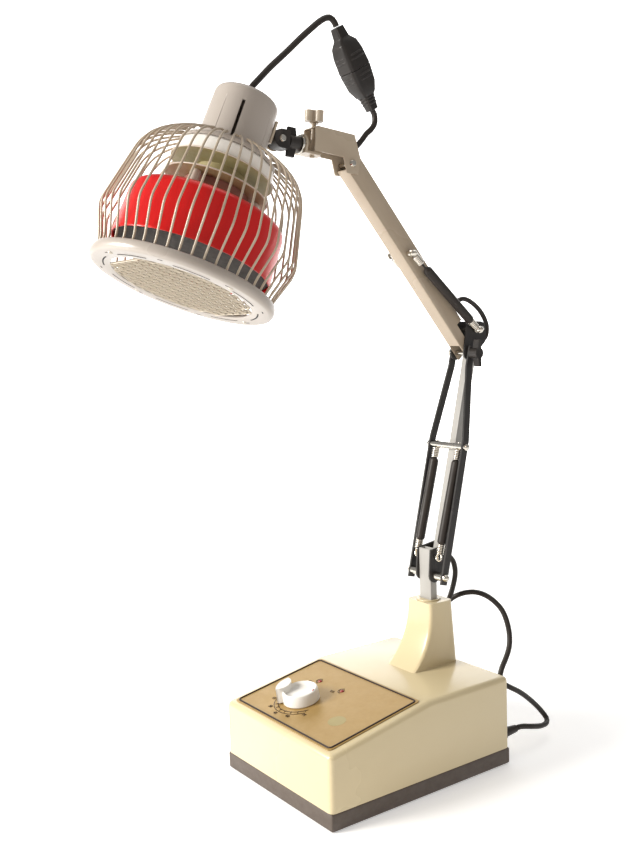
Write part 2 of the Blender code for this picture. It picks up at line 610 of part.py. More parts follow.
def build_post_bracket(body):
    """Plates, pins and sleeves in a frame on the bars' lower pivot."""
    holes = [circle((0, 0), PIN_RADIUS + GAP), circle((LINK_BACK, LINK_UP), PIN_RADIUS + GAP),
             circle((HOOK_BACK, HOOK_UP), 0.0016, 12)]
    for name, side in (("left", -1), ("right", 1)):
        side_plate(f"post_bracket_{name}", [bracket_outline(), *holes], side * (PLATE_IN + PLATE_OUT) / 2,
                   PLATE_THICKNESS, "black_steel", body)
    sleeve = (PLATE_OUT + GAP, BAR_LOW_IN - GAP, 0.0050)
    turned("lower_pivot_pin", pin_profile(BAR_LOW_OUT + 0.0055, PIN_RADIUS, 0.0046, 0.0052, (sleeve,)),
           "brass", body, steps=14, axis="X")
    sleeve = (LINK_WIDTH / 2 + GAP, PLATE_IN - GAP, 0.0042)
    turned("rear_pivot_pin", pin_profile(PLATE_OUT + 0.0062, PIN_RADIUS, 0.0044, 0.0058, (sleeve,)),
           "chrome", body, steps=12, axis="X", at=(0, LINK_BACK, LINK_UP))


# ---- spring arm ---------------------------------------------------------------------------------
def build_lower_bars(body):
    top = LOWER_LENGTH + 0.0080
    knee_low, knee_high = ROD_UP + 0.008, LOWER_LENGTH - 0.016
    for name, side in (("left", -1), ("right", 1)):
        line = ((-0.0085, BAR_LOW_X), (knee_low, BAR_LOW_X), (knee_high, BAR_HIGH_X), (top, BAR_HIGH_X))
        sections = [[(side * (x + dx), y, z)
                     for dx, y in ((-BAR_THICKNESS / 2, -BAR_HALF), (BAR_THICKNESS / 2, -BAR_HALF),
                                   (BAR_THICKNESS / 2, BAR_HALF), (-BAR_THICKNESS / 2, BAR_HALF))]
                    for z, x in line]
        bar = add(f"lower_bar_{name}", loft(sections), "black_steel", body)
        drill = bmesh.new()
        for z in (0, ROD_UP, LOWER_LENGTH):
            low, high = sorted((side * 0.010, side * 0.034))
            rod("X", PIN_RADIUS + GAP, low, high, at=(0, 0, z), into=drill, sides=16)
        cut(bar, drill, f"bar_holes_{name}", body)
    sleeve = (0, BAR_LOW_IN - GAP, 0.0040)
    upper = [(0, BAR_LOW_OUT + 0.0048), (0.0024, BAR_LOW_OUT + 0.0044), (0.0041, BAR_LOW_OUT + 0.0030),
             (0.0041, BAR_LOW_OUT + GAP), (PIN_RADIUS, BAR_LOW_OUT + GAP), (PIN_RADIUS, sleeve[1]),
             (sleeve[2], sleeve[1])]
    turned("cross_rod", upper + [(r, -z) for r, z in reversed(upper)], "black_steel", body,
           steps=16, axis="X", at=(0, 0, ROD_UP))


def build_springs(names, body, reach, x):
    """Sleeved tension springs on both sides, along +Z of their frame: reach stops short of the far pin,
    so that the spring's own shortening has room."""
    low, high = 0.0040, reach
    profile = [(0, high), (0.0012, high), (0.0012, high - 0.009), (SPRING_RADIUS * 0.8, high - 0.012),
               (SPRING_RADIUS, high - 0.0135), (SPRING_RADIUS, low + 0.0135),
               (SPRING_RADIUS * 0.8, low + 0.012), (0.0012, low + 0.009), (0.0012, low), (0, low)]
    for name, side in zip(names, (-1, 1)):
        turned(name, profile, "black_steel", body, steps=14, at=(side * x, 0, 0))


def build_link(body):
    half, deep, wall = LINK_WIDTH / 2, LINK_DEPTH / 2, 0.0012
    tube = add("rear_link", box((-half, -deep, -0.0075), (half, deep, LOWER_LENGTH + 0.0070)),
               "grey_paint", body)
    cut(tube, box((-half + wall, -deep + wall, -0.02), (half - wall, deep - wall, LOWER_LENGTH + 0.02)),
        "link_bore", body)
    drill = rod("X", PIN_RADIUS + GAP, -0.012, 0.012, sides=16)
    rod("X", PIN_RADIUS + 0.0012, -0.012, 0.012, at=(0, 0, LOWER_LENGTH), into=drill, sides=16)
    cut(tube, drill, "link_holes", body)


def build_elbow(body):
    outline = (arc((0, 0), 0.0085, 160, 320, 9) + [(0.0262, 0.0120), (0.0278, 0.0200)]
               + arc((LINK_BACK, LINK_UP), 0.0088, -10, 80, 5) + [(0.0060, 0.0370), (-0.0030, 0.0345)])
    holes = [circle((0, 0), PIN_RADIUS + GAP), circle((LINK_BACK, LINK_UP), PIN_RADIUS + GAP),
             circle((ANCHOR_BACK, ANCHOR_UP), PIN_RADIUS + GAP)]
    for name, side in (("left", -1), ("right", 1)):
        side_plate(f"elbow_plate_{name}", [outline, *holes], side * (PLATE_IN + PLATE_OUT) / 2,
                   PLATE_THICKNESS, "black_steel", body)
    sleeve_in, sleeve_out = PLATE_OUT + GAP, BAR_HIGH_OUT - BAR_THICKNESS - GAP
    outer = BAR_HIGH_OUT + GAP
    bolt = [(0, outer + 0.0060), (PIN_RADIUS, outer + 0.0060), (PIN_RADIUS, sleeve_out),
            (0.0040, sleeve_out), (0.0040, sleeve_in), (PIN_RADIUS, sleeve_in),
            (PIN_RADIUS, -sleeve_in), (0.0040, -sleeve_in), (0.0040, -sleeve_out),
            (PIN_RADIUS, -sleeve_out), (PIN_RADIUS, -outer), (0.0045, -outer), (0.0045, -outer - 0.0025),
            (0.0030, -outer - 0.0040), (0, -outer - 0.0044)]
    turned("elbow_bolt", bolt, "chrome", body, steps=16, axis="X")
    sleeve = (LINK_WIDTH / 2 + GAP, PLATE_IN - GAP, 0.0042)
    turned("link_pin", pin_profile(PLATE_OUT + 0.0048, PIN_RADIUS - 0.0003, 0.0038, 0.0045, (sleeve,)),
           "chrome", body, steps=12, axis="X", at=(0, LINK_BACK, LINK_UP))
    sleeve = (PLATE_OUT + GAP, UPPER_SPRING_X - 0.0015, 0.0036)
    turned("spring_anchor_pin", pin_profile(UPPER_SPRING_X + 0.0080, PIN_RADIUS, 0.0046, 0.0052,
                                            (sleeve,)),
           "chrome", body, steps=12, axis="X", at=(0, ANCHOR_BACK, ANCHOR_UP))


def build_elbow_knob(body):
    """The wing knob that clamps the elbow: its frame's -Y points along world +X."""
    start = -(BAR_HIGH_OUT + 2 * GAP)
    knob = wing_knob("elbow_knob", 0.0062, 0.0125, 0.0155, body, start)
    cut(knob, rod("Y", PIN_RADIUS + RUN, start - 0.0066, start + 0.002), "elbow_knob_bore", body)


def build_upper_arm(body, bracket):
    half, deep = UPPER_WIDTH / 2, UPPER_DEPTH / 2
    tube = add("upper_arm", box((-half, UPPER_BACK - deep, -0.0085),
                                (half, UPPER_BACK + deep, UPPER_LENGTH)), "cream_paint", body)
    edge = tube.modifiers.new("edge", "BEVEL")
    edge.width, edge.segments = 0.0010, 2
    cut(tube, box((-half + UPPER_WALL, UPPER_BACK - deep + UPPER_WALL, -0.02),
                  (half - UPPER_WALL, UPPER_BACK + deep - UPPER_WALL, UPPER_LENGTH + 0.02)),
        "arm_bore", body)
    cut(tube, box((-0.02, 0.0085, -0.02), (0.02, 0.04, 0.036)), "arm_heel", body)
    cut(tube, box((-half + UPPER_WALL, -0.01, -0.02), (half - UPPER_WALL, 0.04, 0.0145)),
        "arm_fork", body)
    drill = rod("X", PIN_RADIUS + GAP, -0.015, 0.015, sides=16)
    rod("X", PIN_RADIUS + GAP, -0.015, 0.015, at=(0, UPPER_PIN_BACK, UPPER_PIN_UP), into=drill, sides=16)
    cut(tube, drill, "arm_holes", body)
    cut(tube, rod("X", PIN_RADIUS + GAP, -0.015, 0.015, at=BRACKET_BOLT, sides=16),
        "arm_bracket_hole", bracket)
    nut_at = UPPER_WIDTH / 2 + GAP
    turned("upper_spring_pin", pin_profile(0.0240, PIN_RADIUS, 0.0040, 0.0030,
                                           ((nut_at, UPPER_SPRING_X - 0.0015, 0.0036),)),
           "chrome", body, steps=12, axis="X", at=(0, UPPER_PIN_BACK, UPPER_PIN_UP))


# ---- head bracket -----------------------------------------------------------------------------
def build_bracket(body):
    front, low = -BRACKET_FRONT, -BRACKET_HEIGHT
    outline = [(front, low), (-0.0155, low), (-0.0100, -0.0410), (0.0045, -0.0400), (0.0065, -0.0230),
               (-0.0030, 0), (front + 0.0020, 0), (front, -0.0020)]
    outer = bmesh.new()
    outer.from_mesh(slab([outline], BRACKET_HALF))
    outer.transform(SIDEWAYS)
    shell = add("head_bracket", outer, "cream_paint", body)
    inner = box((-BRACKET_HALF + BRACKET_WALL, front - 0.01, low - 0.03),
                (BRACKET_HALF - BRACKET_WALL, 0.02, -BRACKET_WALL))
    cut(shell, inner, "bracket_inside", body)
    cut(shell, rod("Z", PIN_RADIUS + RUN, -0.01, 0.01, at=(0, -SWIVEL_BACK, 0), sides=16),
        "bracket_screw_hole", body)
    cut(shell, rod("X", PIN_RADIUS + GAP, -0.02, 0.02, at=BRACKET_BOLT, sides=16),
        "bracket_bolt_hole", body)
    turned("bracket_bolt", [(0, BRACKET_HALF + 0.0030), (0.0030, BRACKET_HALF + 0.0024),
                            (0.0042, BRACKET_HALF + GAP), (PIN_RADIUS, BRACKET_HALF + GAP),
                            (PIN_RADIUS, -BRACKET_HALF - GAP), (0.0042, -BRACKET_HALF - GAP),
                            (0.0030, -BRACKET_HALF - 0.0024), (0, -BRACKET_HALF - 0.0030)],
           "chrome", body, steps=14, axis="X", at=BRACKET_BOLT)


def build_thumb_screw(body):
    screw = turned("thumb_screw", [(0, 0.0175), (0.0040, 0.0175), (0.0048, 0.0165), (0.0048, 0.0050),
                                   (PIN_RADIUS, 0.0045), (PIN_RADIUS, YOKE_LOW - 0.0020),
                                   (0, YOKE_LOW - 0.0020)], "cream_plastic", body, steps=16)
    lobes = bmesh.new()
    for turn in (20, 140, 260):
        x, y = arc((0, 0), 0.0062, turn, turn + 1, 2)[0]
        rod("Z", 0.0045, 0.0055, 0.0170, at=(x, y, 0), into=lobes, sides=14)
    fuse(screw, lobes, "thumb_screw_lobes", body)


def build_yoke(body):
    """Body frame: on the thumb screw's axis at the bracket's top."""
    front = SWIVEL_BACK - YOKE_FACE
    outline = (arc((0, 0), 0.0092, 0, 180, 9) + [(-0.0092, front), (0.0092, front)])
    tab = slab([outline, circle((0, 0), PIN_RADIUS + RUN)], 0.00125)
    tab.transform(Matrix.Translation((0, 0, YOKE_LOW + 0.00125)))
    yoke = add("swivel_yoke", tab, "cream_paint", body)
    face = arc((0, -STUD_DROP), 0.0108, 0, 180, 10) + [(-0.0092, YOKE_LOW), (0.0092, YOKE_LOW)]
    plate = slab([face], 0.00125)
    plate.transform(Matrix.Translation((0, front + 0.00125, 0)) @ Matrix.Rotation(math.pi / 2, 4, "X"))
    upright = bmesh.new()
    upright.from_mesh(plate)
    fuse(yoke, upright, "yoke_face", body)
    hole = rod("Y", STUD_RADIUS + GAP, front - 0.005, front + 0.006, at=(0, 0, -STUD_DROP), sides=16)
    cut(yoke, hole, "yoke_hole", body)
    sink = rod("Y", STUD_RADIUS + GAP, front + 0.0008, front + 0.0040, at=(0, 0, -STUD_DROP), sides=16,
               radius_end=STUD_RADIUS + GAP + 0.0032)
    cut(yoke, sink, "yoke_countersink", body)


def build_tilt(stud_body, knob_body):
    """Body frames: on the stud's axis at the bracket's upper rear corner, with -Y to the front."""
    face = -YOKE_FACE
    block_rear = KNUCKLE_OUT - KNUCKLE_RADIUS
    stud = turned("tilt_stud", [(0, KNUCKLE_OUT - 0.0035), (STUD_RADIUS, KNUCKLE_OUT - 0.0035),
                                (STUD_RADIUS, -face + 0.0028), (0.0096, -face + 0.0028),
                                (0.0096, -face + GAP), (STUD_RADIUS, -face + GAP),
                                (STUD_RADIUS, -face - 0.0010), (STUD_RADIUS + 0.0013, -face - 0.0024),
                                (0, -face - 0.0024)],
                  "chrome", stud_body, steps=16)
    stud.rotation_euler = (math.pi / 2, 0, 0)
    knob = wing_knob("tilt_knob", 0.0072, 0.0130, 0.0150, knob_body, face - 0.0028 - GAP)
    cut(knob, rod("Y", STUD_RADIUS + GAP, face - 0.03, face + 0.01, sides=16), "tilt_knob_bore", knob_body)
    outline = (arc((-KNUCKLE_OUT, 0), KNUCKLE_RADIUS, 90, 270, 14)
               + [(-block_rear, -KNUCKLE_RADIUS), (-block_rear, KNUCKLE_RADIUS)])
    block = side_plate("knuckle_block", [outline, circle((-KNUCKLE_OUT, 0), PIN_RADIUS + GAP)], 0,
                       2 * KNUCKLE_HALF, "black_plastic", stud_body)
    cut(block, rod("Y", STUD_RADIUS + GAP, -KNUCKLE_OUT + 0.0033, -block_rear + 0.002, sides=16),
        "knuckle_bore", stud_body)


# ---- head ---------------------------------------------------------------------------------------
def cage_lattice():
    """Guard wires as a lattice of strips: pairs of wires are joined at the top, all at the foot."""
    made = bmesh.new()
    rows = []
    for r, z in CAGE_PROFILE:
        row = []
        for wire in range(CAGE_WIRES):
            middle = 2 * math.pi * (wire + 0.5) / CAGE_WIRES
            if r < CAGE_PROFILE[3][0]:
                pull = (CAGE_PROFILE[3][0] - r) / (CAGE_PROFILE[3][0] - CAGE_PROFILE[-1][0])
                middle += (0.10 * pull if wire % 2 == 0 else -0.10 * pull) * 2 * math.pi / CAGE_WIRES
            for side in (-1, 1):
                angle = middle + side * CAGE_WIRE / 2 / r
                row.append(made.verts.new((r * math.cos(angle), r * math.sin(angle), z)))
        rows.append(row)
    count = 2 * CAGE_WIRES
    for level, (low, high) in enumerate(zip(rows, rows[1:])):
        for i in range(count):
            j = (i + 1) % count
            strip = i % 2 == 0
            foot = level == 0
            loop_end = level == len(rows) - 2 and i % 4 == 1
            if strip or foot or loop_end:
                made.faces.new((low[i], low[j], high[j], high[i]))
    return made


def build_guard(body):
    cage = add("guard_cage", cage_lattice(), "cream_paint", body)
    thick = cage.modifiers.new("wire", "SOLIDIFY")
    thick.thickness = CAGE_WIRE
    thick.offset = 0
    thick.use_even_offset = False
    inner = CAGE_PROFILE[0][0] + CAGE_WIRE / 2 + 2 * GAP
    rim = [(0, 0.0022), (CAGE_PROFILE[0][0] - CAGE_WIRE / 2 - 2 * GAP, 0.0022),
           (CAGE_PROFILE[0][0] - CAGE_WIRE / 2 - 2 * GAP, 0.0050), (inner, 0.0050), (inner, RING_HEIGHT),
           (RING_RADIUS - 0.0022, RING_HEIGHT), (RING_RADIUS - 0.0005, RING_HEIGHT - 0.0022),
           (RING_RADIUS, 0.0050), (RING_RADIUS - 0.0008, 0.0022), (RING_FACE_RADIUS, 0), (0, 0)]
    guard = turned("guard_grille", rim, "cream_paint", body, steps=40)
    holes = bmesh.new()
    half = (GRILLE_PITCH - GRILLE_BAR) / 2
    rows = int(GRILLE_RADIUS / GRILLE_PITCH * 2) + 1
    for row in range(-rows, rows + 1):
        for column in range(-rows, rows + 1):
            x = (column + 0.5 * (row % 2)) * GRILLE_PITCH
            y = row * GRILLE_PITCH * 0.5
            if math.hypot(x, y) < GRILLE_RADIUS - half - 0.001:
                loft([[(x + half, y, z), (x, y + half * 0.86, z), (x - half, y, z), (x, y - half * 0.86, z)]
                      for z in (-0.002, 0.004)], into=holes)
    for number in range(8):
        middle = 22.5 + 45 * number
        outline = (arc((0, 0), 0.0748, middle - 15, middle + 15, 4)
                   + arc((0, 0), 0.0790, middle + 15, middle - 15, 4))
        loft([[(x, y, z) for x, y in outline] for z in (-0.002, 0.004)], into=holes)
    cut(guard, holes, "grille_holes", body)


def build_heater(body):
    cup = [(0.0180, CUP_TOP), (CUP_RADIUS - 0.0105, CUP_TOP), (CUP_RADIUS - 0.0045, CUP_TOP - 0.0025),
           (CUP_RADIUS - 0.0020, CUP_TOP - 0.0070), (CUP_RADIUS, CUP_BOTTOM),
           (CUP_RADIUS - CUP_WALL, CUP_BOTTOM), (CUP_RADIUS - 0.0020 - CUP_WALL, CUP_TOP - 0.0075),
           (CUP_RADIUS - 0.0110, CUP_TOP - CUP_WALL), (0.0180, CUP_TOP - CUP_WALL)]
    turned("heater_cup", cup, "red_anodised", body, steps=36, ring=True)
    turned("mineral_plate", [(0, CUP_BOTTOM + 0.0090), (PLATE_RADIUS, CUP_BOTTOM + 0.0090),
                             (PLATE_RADIUS + 0.0012, CUP_BOTTOM + 0.0070),
                             (PLATE_RADIUS + 0.0012, CUP_BOTTOM + 0.0030), (0, CUP_BOTTOM + 0.0030)],
           "mineral", body, steps=36)
    turned("heating_element", [(0, CUP_BOTTOM + 0.0260), (PLATE_RADIUS - 0.0080, CUP_BOTTOM + 0.0260),
                               (PLATE_RADIUS - 0.0080, CUP_BOTTOM + 0.0093), (0, CUP_BOTTOM + 0.0093)],
           "ceramic", body, steps=28)
    low, high = CUP_TOP + GAP, LOWER_SHIELD_AT - GAP
    turned("inner_can", [(0, high), (0.0330, high), (0.0330, low), (0, low)], "red_anodised", body, steps=24)
    lower, upper, thick = LOWER_SHIELD_AT, UPPER_SHIELD_AT, 0.0016
    turned("heat_shields", [(0, upper + thick), (SHIELD_RADIUS, upper + thick), (SHIELD_RADIUS, upper),
                            (0.0240, upper), (0.0240, lower + thick), (SHIELD_RADIUS, lower + thick),
                            (SHIELD_RADIUS, lower), (0, lower)], "olive_board", body, steps=32)
    for number in range(3):
        x, y = arc((0, 0), STANDOFF_CIRCLE, 120 * number - 60, 0, 2)[0]
        turned(f"standoff_{number + 1}", [(0, high), (0.0048, high), (0.0048, low), (0, low)], "ceramic",
               body, steps=14, at=(x, y, 0))
    drum = [(0.0300, DRUM_TOP), (DRUM_RADIUS - 0.0020, DRUM_TOP), (DRUM_RADIUS, DRUM_TOP - 0.0020),
            (DRUM_RADIUS, DRUM_BOTTOM), (DRUM_RADIUS - 0.0012, DRUM_BOTTOM),
            (DRUM_RADIUS - 0.0012, DRUM_TOP - 0.0026), (DRUM_RADIUS - 0.0026, DRUM_TOP - 0.0014),
            (0.0300, DRUM_TOP - 0.0014)]
    turned("drum", drum, "white_plastic", body, steps=36, ring=True)
    turned("cage_ring", [(0.0485, DRUM_TOP + 0.0038), (0.0485, DRUM_TOP + GAP), (0.0380, DRUM_TOP + GAP),
                         (0.0380, DRUM_TOP + 0.0020), (0.0440, DRUM_TOP + 0.0038)],
           "black_steel", body, steps=32, ring=True)


def build_cap(body):
    edge = [(CAP_TOP_RADIUS - 0.0055 + 0.0055 * math.sin(a), CAP_TOP - 0.0055 + 0.0055 * math.cos(a))
            for a in (0, 0.4, 0.8, 1.2, math.pi / 2)]
    wall = CAP_WALL
    inner = [(CAP_RADIUS - wall, CAP_BOTTOM), (CAP_TOP_RADIUS - wall, CAP_TOP - 0.0055),
             (CAP_TOP_RADIUS - 0.0055, CAP_TOP - wall), (0, CAP_TOP - wall)]
    cap = turned("head_cap", [(0, CAP_TOP), *edge, (CAP_RADIUS, CAP_BOTTOM), *inner], "cream_paint",
                 body, steps=40)
    slots = bmesh.new()
    for number in range(4):
        turn = Matrix.Rotation(math.radians(90 * number - 30), 4, "Z")
        slot = box((CAP_RADIUS - 0.006, -0.0016, CAP_BOTTOM + 0.010), (CAP_RADIUS + 0.004, 0.0016, CAP_TOP - 0.017))
        slot.transform(turn)
        mesh = bpy.data.meshes.new("slot")
        slot.to_mesh(mesh)
        slots.from_mesh(mesh)
    cut(cap, slots, "cap_slots", body)
    turned("cap_grommet", [(0, CAP_TOP + 0.0060), (0.0042, CAP_TOP + 0.0060), (0.0052, CAP_TOP + 0.0020),
                           (0.0060, CAP_TOP + GAP), (0, CAP_TOP + GAP)], "rubber", body, steps=16)


def build_head_mount(body):
    """The saddle bolted to the cap, with the ear that the knuckle pin passes through."""
    face = SADDLE_Y + 0.0024
    saddle = add("head_saddle", box((-0.0106, SADDLE_Y, KNUCKLE_Z - 0.0120),
                                    (0.0085, face, KNUCKLE_Z + 0.0120)), "zinc", body)
    r = 0.0105
    outline = ([(SADDLE_Y, KNUCKLE_Z - r), (KNUCKLE_Y, KNUCKLE_Z - r)]
               + arc((KNUCKLE_Y, KNUCKLE_Z), r, -75, 75, 8)
               + [(KNUCKLE_Y, KNUCKLE_Z + r), (SADDLE_Y, KNUCKLE_Z + r)])
    ear = bmesh.new()
    ear.from_mesh(slab([outline, circle((KNUCKLE_Y, KNUCKLE_Z), PIN_RADIUS + GAP)], 0.0009))
    ear.transform(Matrix.Translation((-0.0097, 0, 0)) @ SIDEWAYS)
    fuse(saddle, ear, "saddle_ear", body)
    turned("knuckle_pin", [(0, KNUCKLE_HALF + 0.0026), (0.0030, KNUCKLE_HALF + 0.0022),
                           (0.0040, KNUCKLE_HALF + GAP), (PIN_RADIUS, KNUCKLE_HALF + GAP),
                           (PIN_RADIUS, -0.0108), (0.0040, -0.0108), (0.0030, -0.0126), (0, -0.0130)],
           "chrome", body, steps=14, axis="X", at=(0, KNUCKLE_Y, KNUCKLE_Z))


def build_connector(name, start, end, sections):
    """A moulded connector half: rounded boxes of (share of length, half width, half depth)."""
    across = Vector((1, 0, 0)).cross((end - start).normalized())
    rings = []
    for share, wide, deep in sections:
        centre = start.lerp(end, share)
        edge = min(wide, deep) * 0.45
        corners = ((wide - edge, -deep + edge, -90), (wide - edge, deep - edge, 0),
                   (-wide + edge, deep - edge, 90), (-wide + edge, -deep + edge, 180))
        rings.append([centre + across * u + Vector((1, 0, 0)) * v
                      for cu, cv, turn in corners for u, v in arc((cu, cv), edge, turn, turn + 90, 4)])
    add(name, loft(rings), "rubber", None)


# ---- assembly ---------------------------------------------------------------------------------
root = frame("base")
panel = frame("panel", (0, -BASE_LENGTH / 2, FRONT_HEIGHT), SLOPE, root)
knob_frame = frame("timer_knob_axis", world_of(panel) @ KNOB_AT, SLOPE, root)
swivel = frame("post_swivel", (0, POST_Y, PEDESTAL_TOP), parent=root)
post_bracket = frame("post_bracket", ARM_FOOT, parent=swivel)
lower_arm = frame("lower_arm", ARM_FOOT, -LOWER_LEAN, swivel)
link = frame("rear_link_axis", LINK_FOOT, -LOWER_LEAN, swivel)
lower_spring_line = ROD - HOOK
lower_springs = frame("lower_springs", HOOK, -math.atan2(lower_spring_line.y, lower_spring_line.z), swivel)
elbow = frame("elbow", ELBOW, parent=lower_arm)
elbow_knob_axis = frame("elbow_knob_axis", ELBOW, parent=elbow)
elbow_knob_axis.matrix_basis = elbow_knob_axis.matrix_basis @ Matrix.Rotation(math.pi / 2, 4, "Z")
upper_arm = frame("upper_arm_axis", ELBOW, UPPER_LEAN, elbow)
upper_spring_line = UPPER_PIN - ANCHOR
upper_springs = frame("upper_springs", ANCHOR, -math.atan2(upper_spring_line.y, upper_spring_line.z), elbow)
bracket = frame("head_bracket_corner", BRACKET_CORNER, -BRACKET_PITCH, upper_arm)
pan_at = world_of(bracket) @ Vector((0, -SWIVEL_BACK, 0))
thumb = frame("thumb_screw_axis", pan_at, -BRACKET_PITCH, upper_arm)
yoke = frame("swivel_yoke_axis", pan_at, -BRACKET_PITCH, upper_arm)
stud_at = world_of(bracket) @ Vector((0, 0, -STUD_DROP))
stud = frame("stud_axis", stud_at, -BRACKET_PITCH, yoke)
tilt_knob_axis = frame("tilt_knob_axis", stud_at, -BRACKET_PITCH, yoke)
head_axis = frame("head_axis", KNUCKLE, 0, stud)
head = frame("head", HEAD_FOOT, -HEAD_LEAN, head_axis)

build_base(root, panel)
build_timer_knob(knob_frame)
build_post(swivel)
build_post_bracket(post_bracket)
build_lower_bars(lower_arm)
build_springs(("lower_spring_left", "lower_spring_right"), lower_springs,
              lower_spring_line.length - LOWER_SPRING_SHORT, LOWER_SPRING_X)
build_link(link)
build_elbow(elbow)
build_elbow_knob(elbow_knob_axis)
build_upper_arm(upper_arm, bracket)
build_springs(("upper_spring_left", "upper_spring_right"), upper_springs,
              upper_spring_line.length - UPPER_SPRING_SHORT, UPPER_SPRING_X)
build_bracket(bracket)
build_thumb_screw(thumb)
build_yoke(yoke)
build_tilt(stud, tilt_knob_axis)
build_guard(head)
build_heater(head)
build_cap(head)
build_head_mount(head)
socket_top, plug_end = BRACKET_CORNER + CONNECTOR_TOP, BRACKET_CORNER + CONNECTOR_END
along = (plug_end - socket_top).normalized()
build_connector("cord_socket", socket_top, plug_end,
                ((0, 0.0058, 0.0058), (0.13, 0.0072, 0.0070), (0.20, 0.0120, 0.0110),
                 (0.30, 0.0140, 0.0125), (0.50, 0.0148, 0.0132)))
build_connector("cord_plug", socket_top, plug_end,
                ((0.504, 0.0148, 0.0132), (0.70, 0.0130, 0.0120), (0.80, 0.0095, 0.0095),
                 (0.84, 0.0068, 0.0068), (1, 0.0055, 0.0055)))
cap_exit = [world_of(head) @ Vector((0, 0, CAP_TOP + 0.0060 + h)) for h in (CORD_GAP, 0.0060)]
cord("head_cord", [*cap_exit, *from_point(BRACKET_CORNER, HEAD_CORD_ROUTE),
                   socket_top - 0.0060 * along, socket_top - CORD_GAP * along], HEAD_CORD_DIAMETER)
cord("arm_lead", [plug_end + CORD_GAP * along, plug_end + 0.0060 * along,
                  *from_point(BRACKET_CORNER, LEAD_ROUTE)], CORD_DIAMETER)
cord("elbow_cord", from_point(ELBOW, ELBOW_ROUTE), CORD_DIAMETER - 0.0006)
rear_edge = Vector((0, BASE_LENGTH / 2, 0))
gland_tip = rear_edge + Vector((GLAND_X, 0.0247 + CORD_GAP, GLAND_Z))
cord("supply_cord", [*from_point(rear_edge, SUPPLY_ROUTE), gland_tip + Vector((0, 0.006, 0)), gland_tip],
     CORD_DIAMETER)
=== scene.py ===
import math

import bmesh
import bpy
import numpy as np
from mathutils import Matrix, Vector


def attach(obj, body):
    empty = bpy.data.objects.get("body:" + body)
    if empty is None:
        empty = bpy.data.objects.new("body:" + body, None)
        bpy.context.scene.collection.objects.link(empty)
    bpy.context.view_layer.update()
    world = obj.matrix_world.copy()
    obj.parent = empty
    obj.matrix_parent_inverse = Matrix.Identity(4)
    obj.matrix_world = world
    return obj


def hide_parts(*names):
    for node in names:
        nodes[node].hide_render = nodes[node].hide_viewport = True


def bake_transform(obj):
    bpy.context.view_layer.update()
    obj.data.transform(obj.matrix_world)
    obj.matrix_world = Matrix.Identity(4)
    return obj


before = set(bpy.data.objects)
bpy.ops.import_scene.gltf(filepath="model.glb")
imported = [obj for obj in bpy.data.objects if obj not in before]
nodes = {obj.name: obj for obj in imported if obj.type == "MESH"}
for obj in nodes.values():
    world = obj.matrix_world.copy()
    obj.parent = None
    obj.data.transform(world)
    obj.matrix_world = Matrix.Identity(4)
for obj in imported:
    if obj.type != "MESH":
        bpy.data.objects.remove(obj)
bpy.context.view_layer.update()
print("frame loaded:", len(nodes), "CAD nodes")

# Camera, light and floor
cameraSettings = {
    "place": (0.8634, -0.6770, 0.5001),
    "yaw": 54.16,        # degrees from +Y towards -X
    "pitch": -5.90,
    "roll": -1.81,
    "lens": 42.52,
}


def addCamera(settings):
    yaw, pitch, roll = (math.radians(settings[key]) for key in ("yaw", "pitch", "roll"))
    forward = Vector((-math.sin(yaw) * math.cos(pitch), math.cos(yaw) * math.cos(pitch), math.sin(pitch)))
    level = Vector((math.cos(yaw), math.sin(yaw), 0))
    upright = level.cross(forward)
    right = level * math.cos(roll) + upright * math.sin(roll)
    up = upright * math.cos(roll) - level * math.sin(roll)
    data = bpy.data.cameras.new("studioCamera")
    data.lens = settings["lens"]
    data.clip_start = 0.05
    camera = bpy.data.objects.new("studioCamera", data)
    turn = Matrix((right, up, -forward)).transposed().to_4x4()
    camera.matrix_world = Matrix.Translation(settings["place"]) @ turn
    bpy.context.scene.collection.objects.link(camera)
    bpy.context.scene.camera = camera


addCamera(cameraSettings)

lightSettings = (
    # name, place, aimed at, size in metres, watts, colour
    ("softKey", (-0.75, -2.1, 1.15), (0.0, 0.0, 0.35), 1.1, 84, (1.0, 0.97, 0.92)),
    ("softFill", (1.9, -0.6, 1.0), (0.0, 0.0, 0.35), 1.4, 3, (1.0, 0.70, 0.42)),
    ("softTop", (0.0, 0.3, 2.2), (0.0, 0.0, 0.3), 1.4, 7, (1.0, 0.97, 0.92)),
)


def addLight(name, place, target, size, watts, tint):
    data = bpy.data.lights.new(name, "AREA")
    data.shape = "DISK"
    data.size = size
    data.energy = watts
    data.color = tint
    light = bpy.data.objects.new(name, data)
    light.location = place
    light.rotation_euler = (Vector(target) - Vector(place)).to_track_quat("-Z", "Y").to_euler()
    bpy.context.scene.collection.objects.link(light)


for row in lightSettings:
    addLight(*row)

stageSettings = {
    "worldGlow": 0.30,
    "floorHalf": 9,
    "floorDrop": 0.0006,
    "floorGlow": 0.36,
    "wallRadius": 2.4,
    "wallHeight": 1.7,
    "wallSpan": (98, 186),    # degrees from +X
    "wallSteps": 40,
    "wallGlow": 1.0,
}
world = bpy.data.worlds.new("paleStudio")
world.use_nodes = True
world.node_tree.nodes["Background"].inputs["Color"].default_value = (1.0, 1.0, 1.0, 1)
world.node_tree.nodes["Background"].inputs["Strength"].default_value = stageSettings["worldGlow"]
bpy.context.scene.world = world
bpy.context.scene.view_settings.view_transform = "Standard"

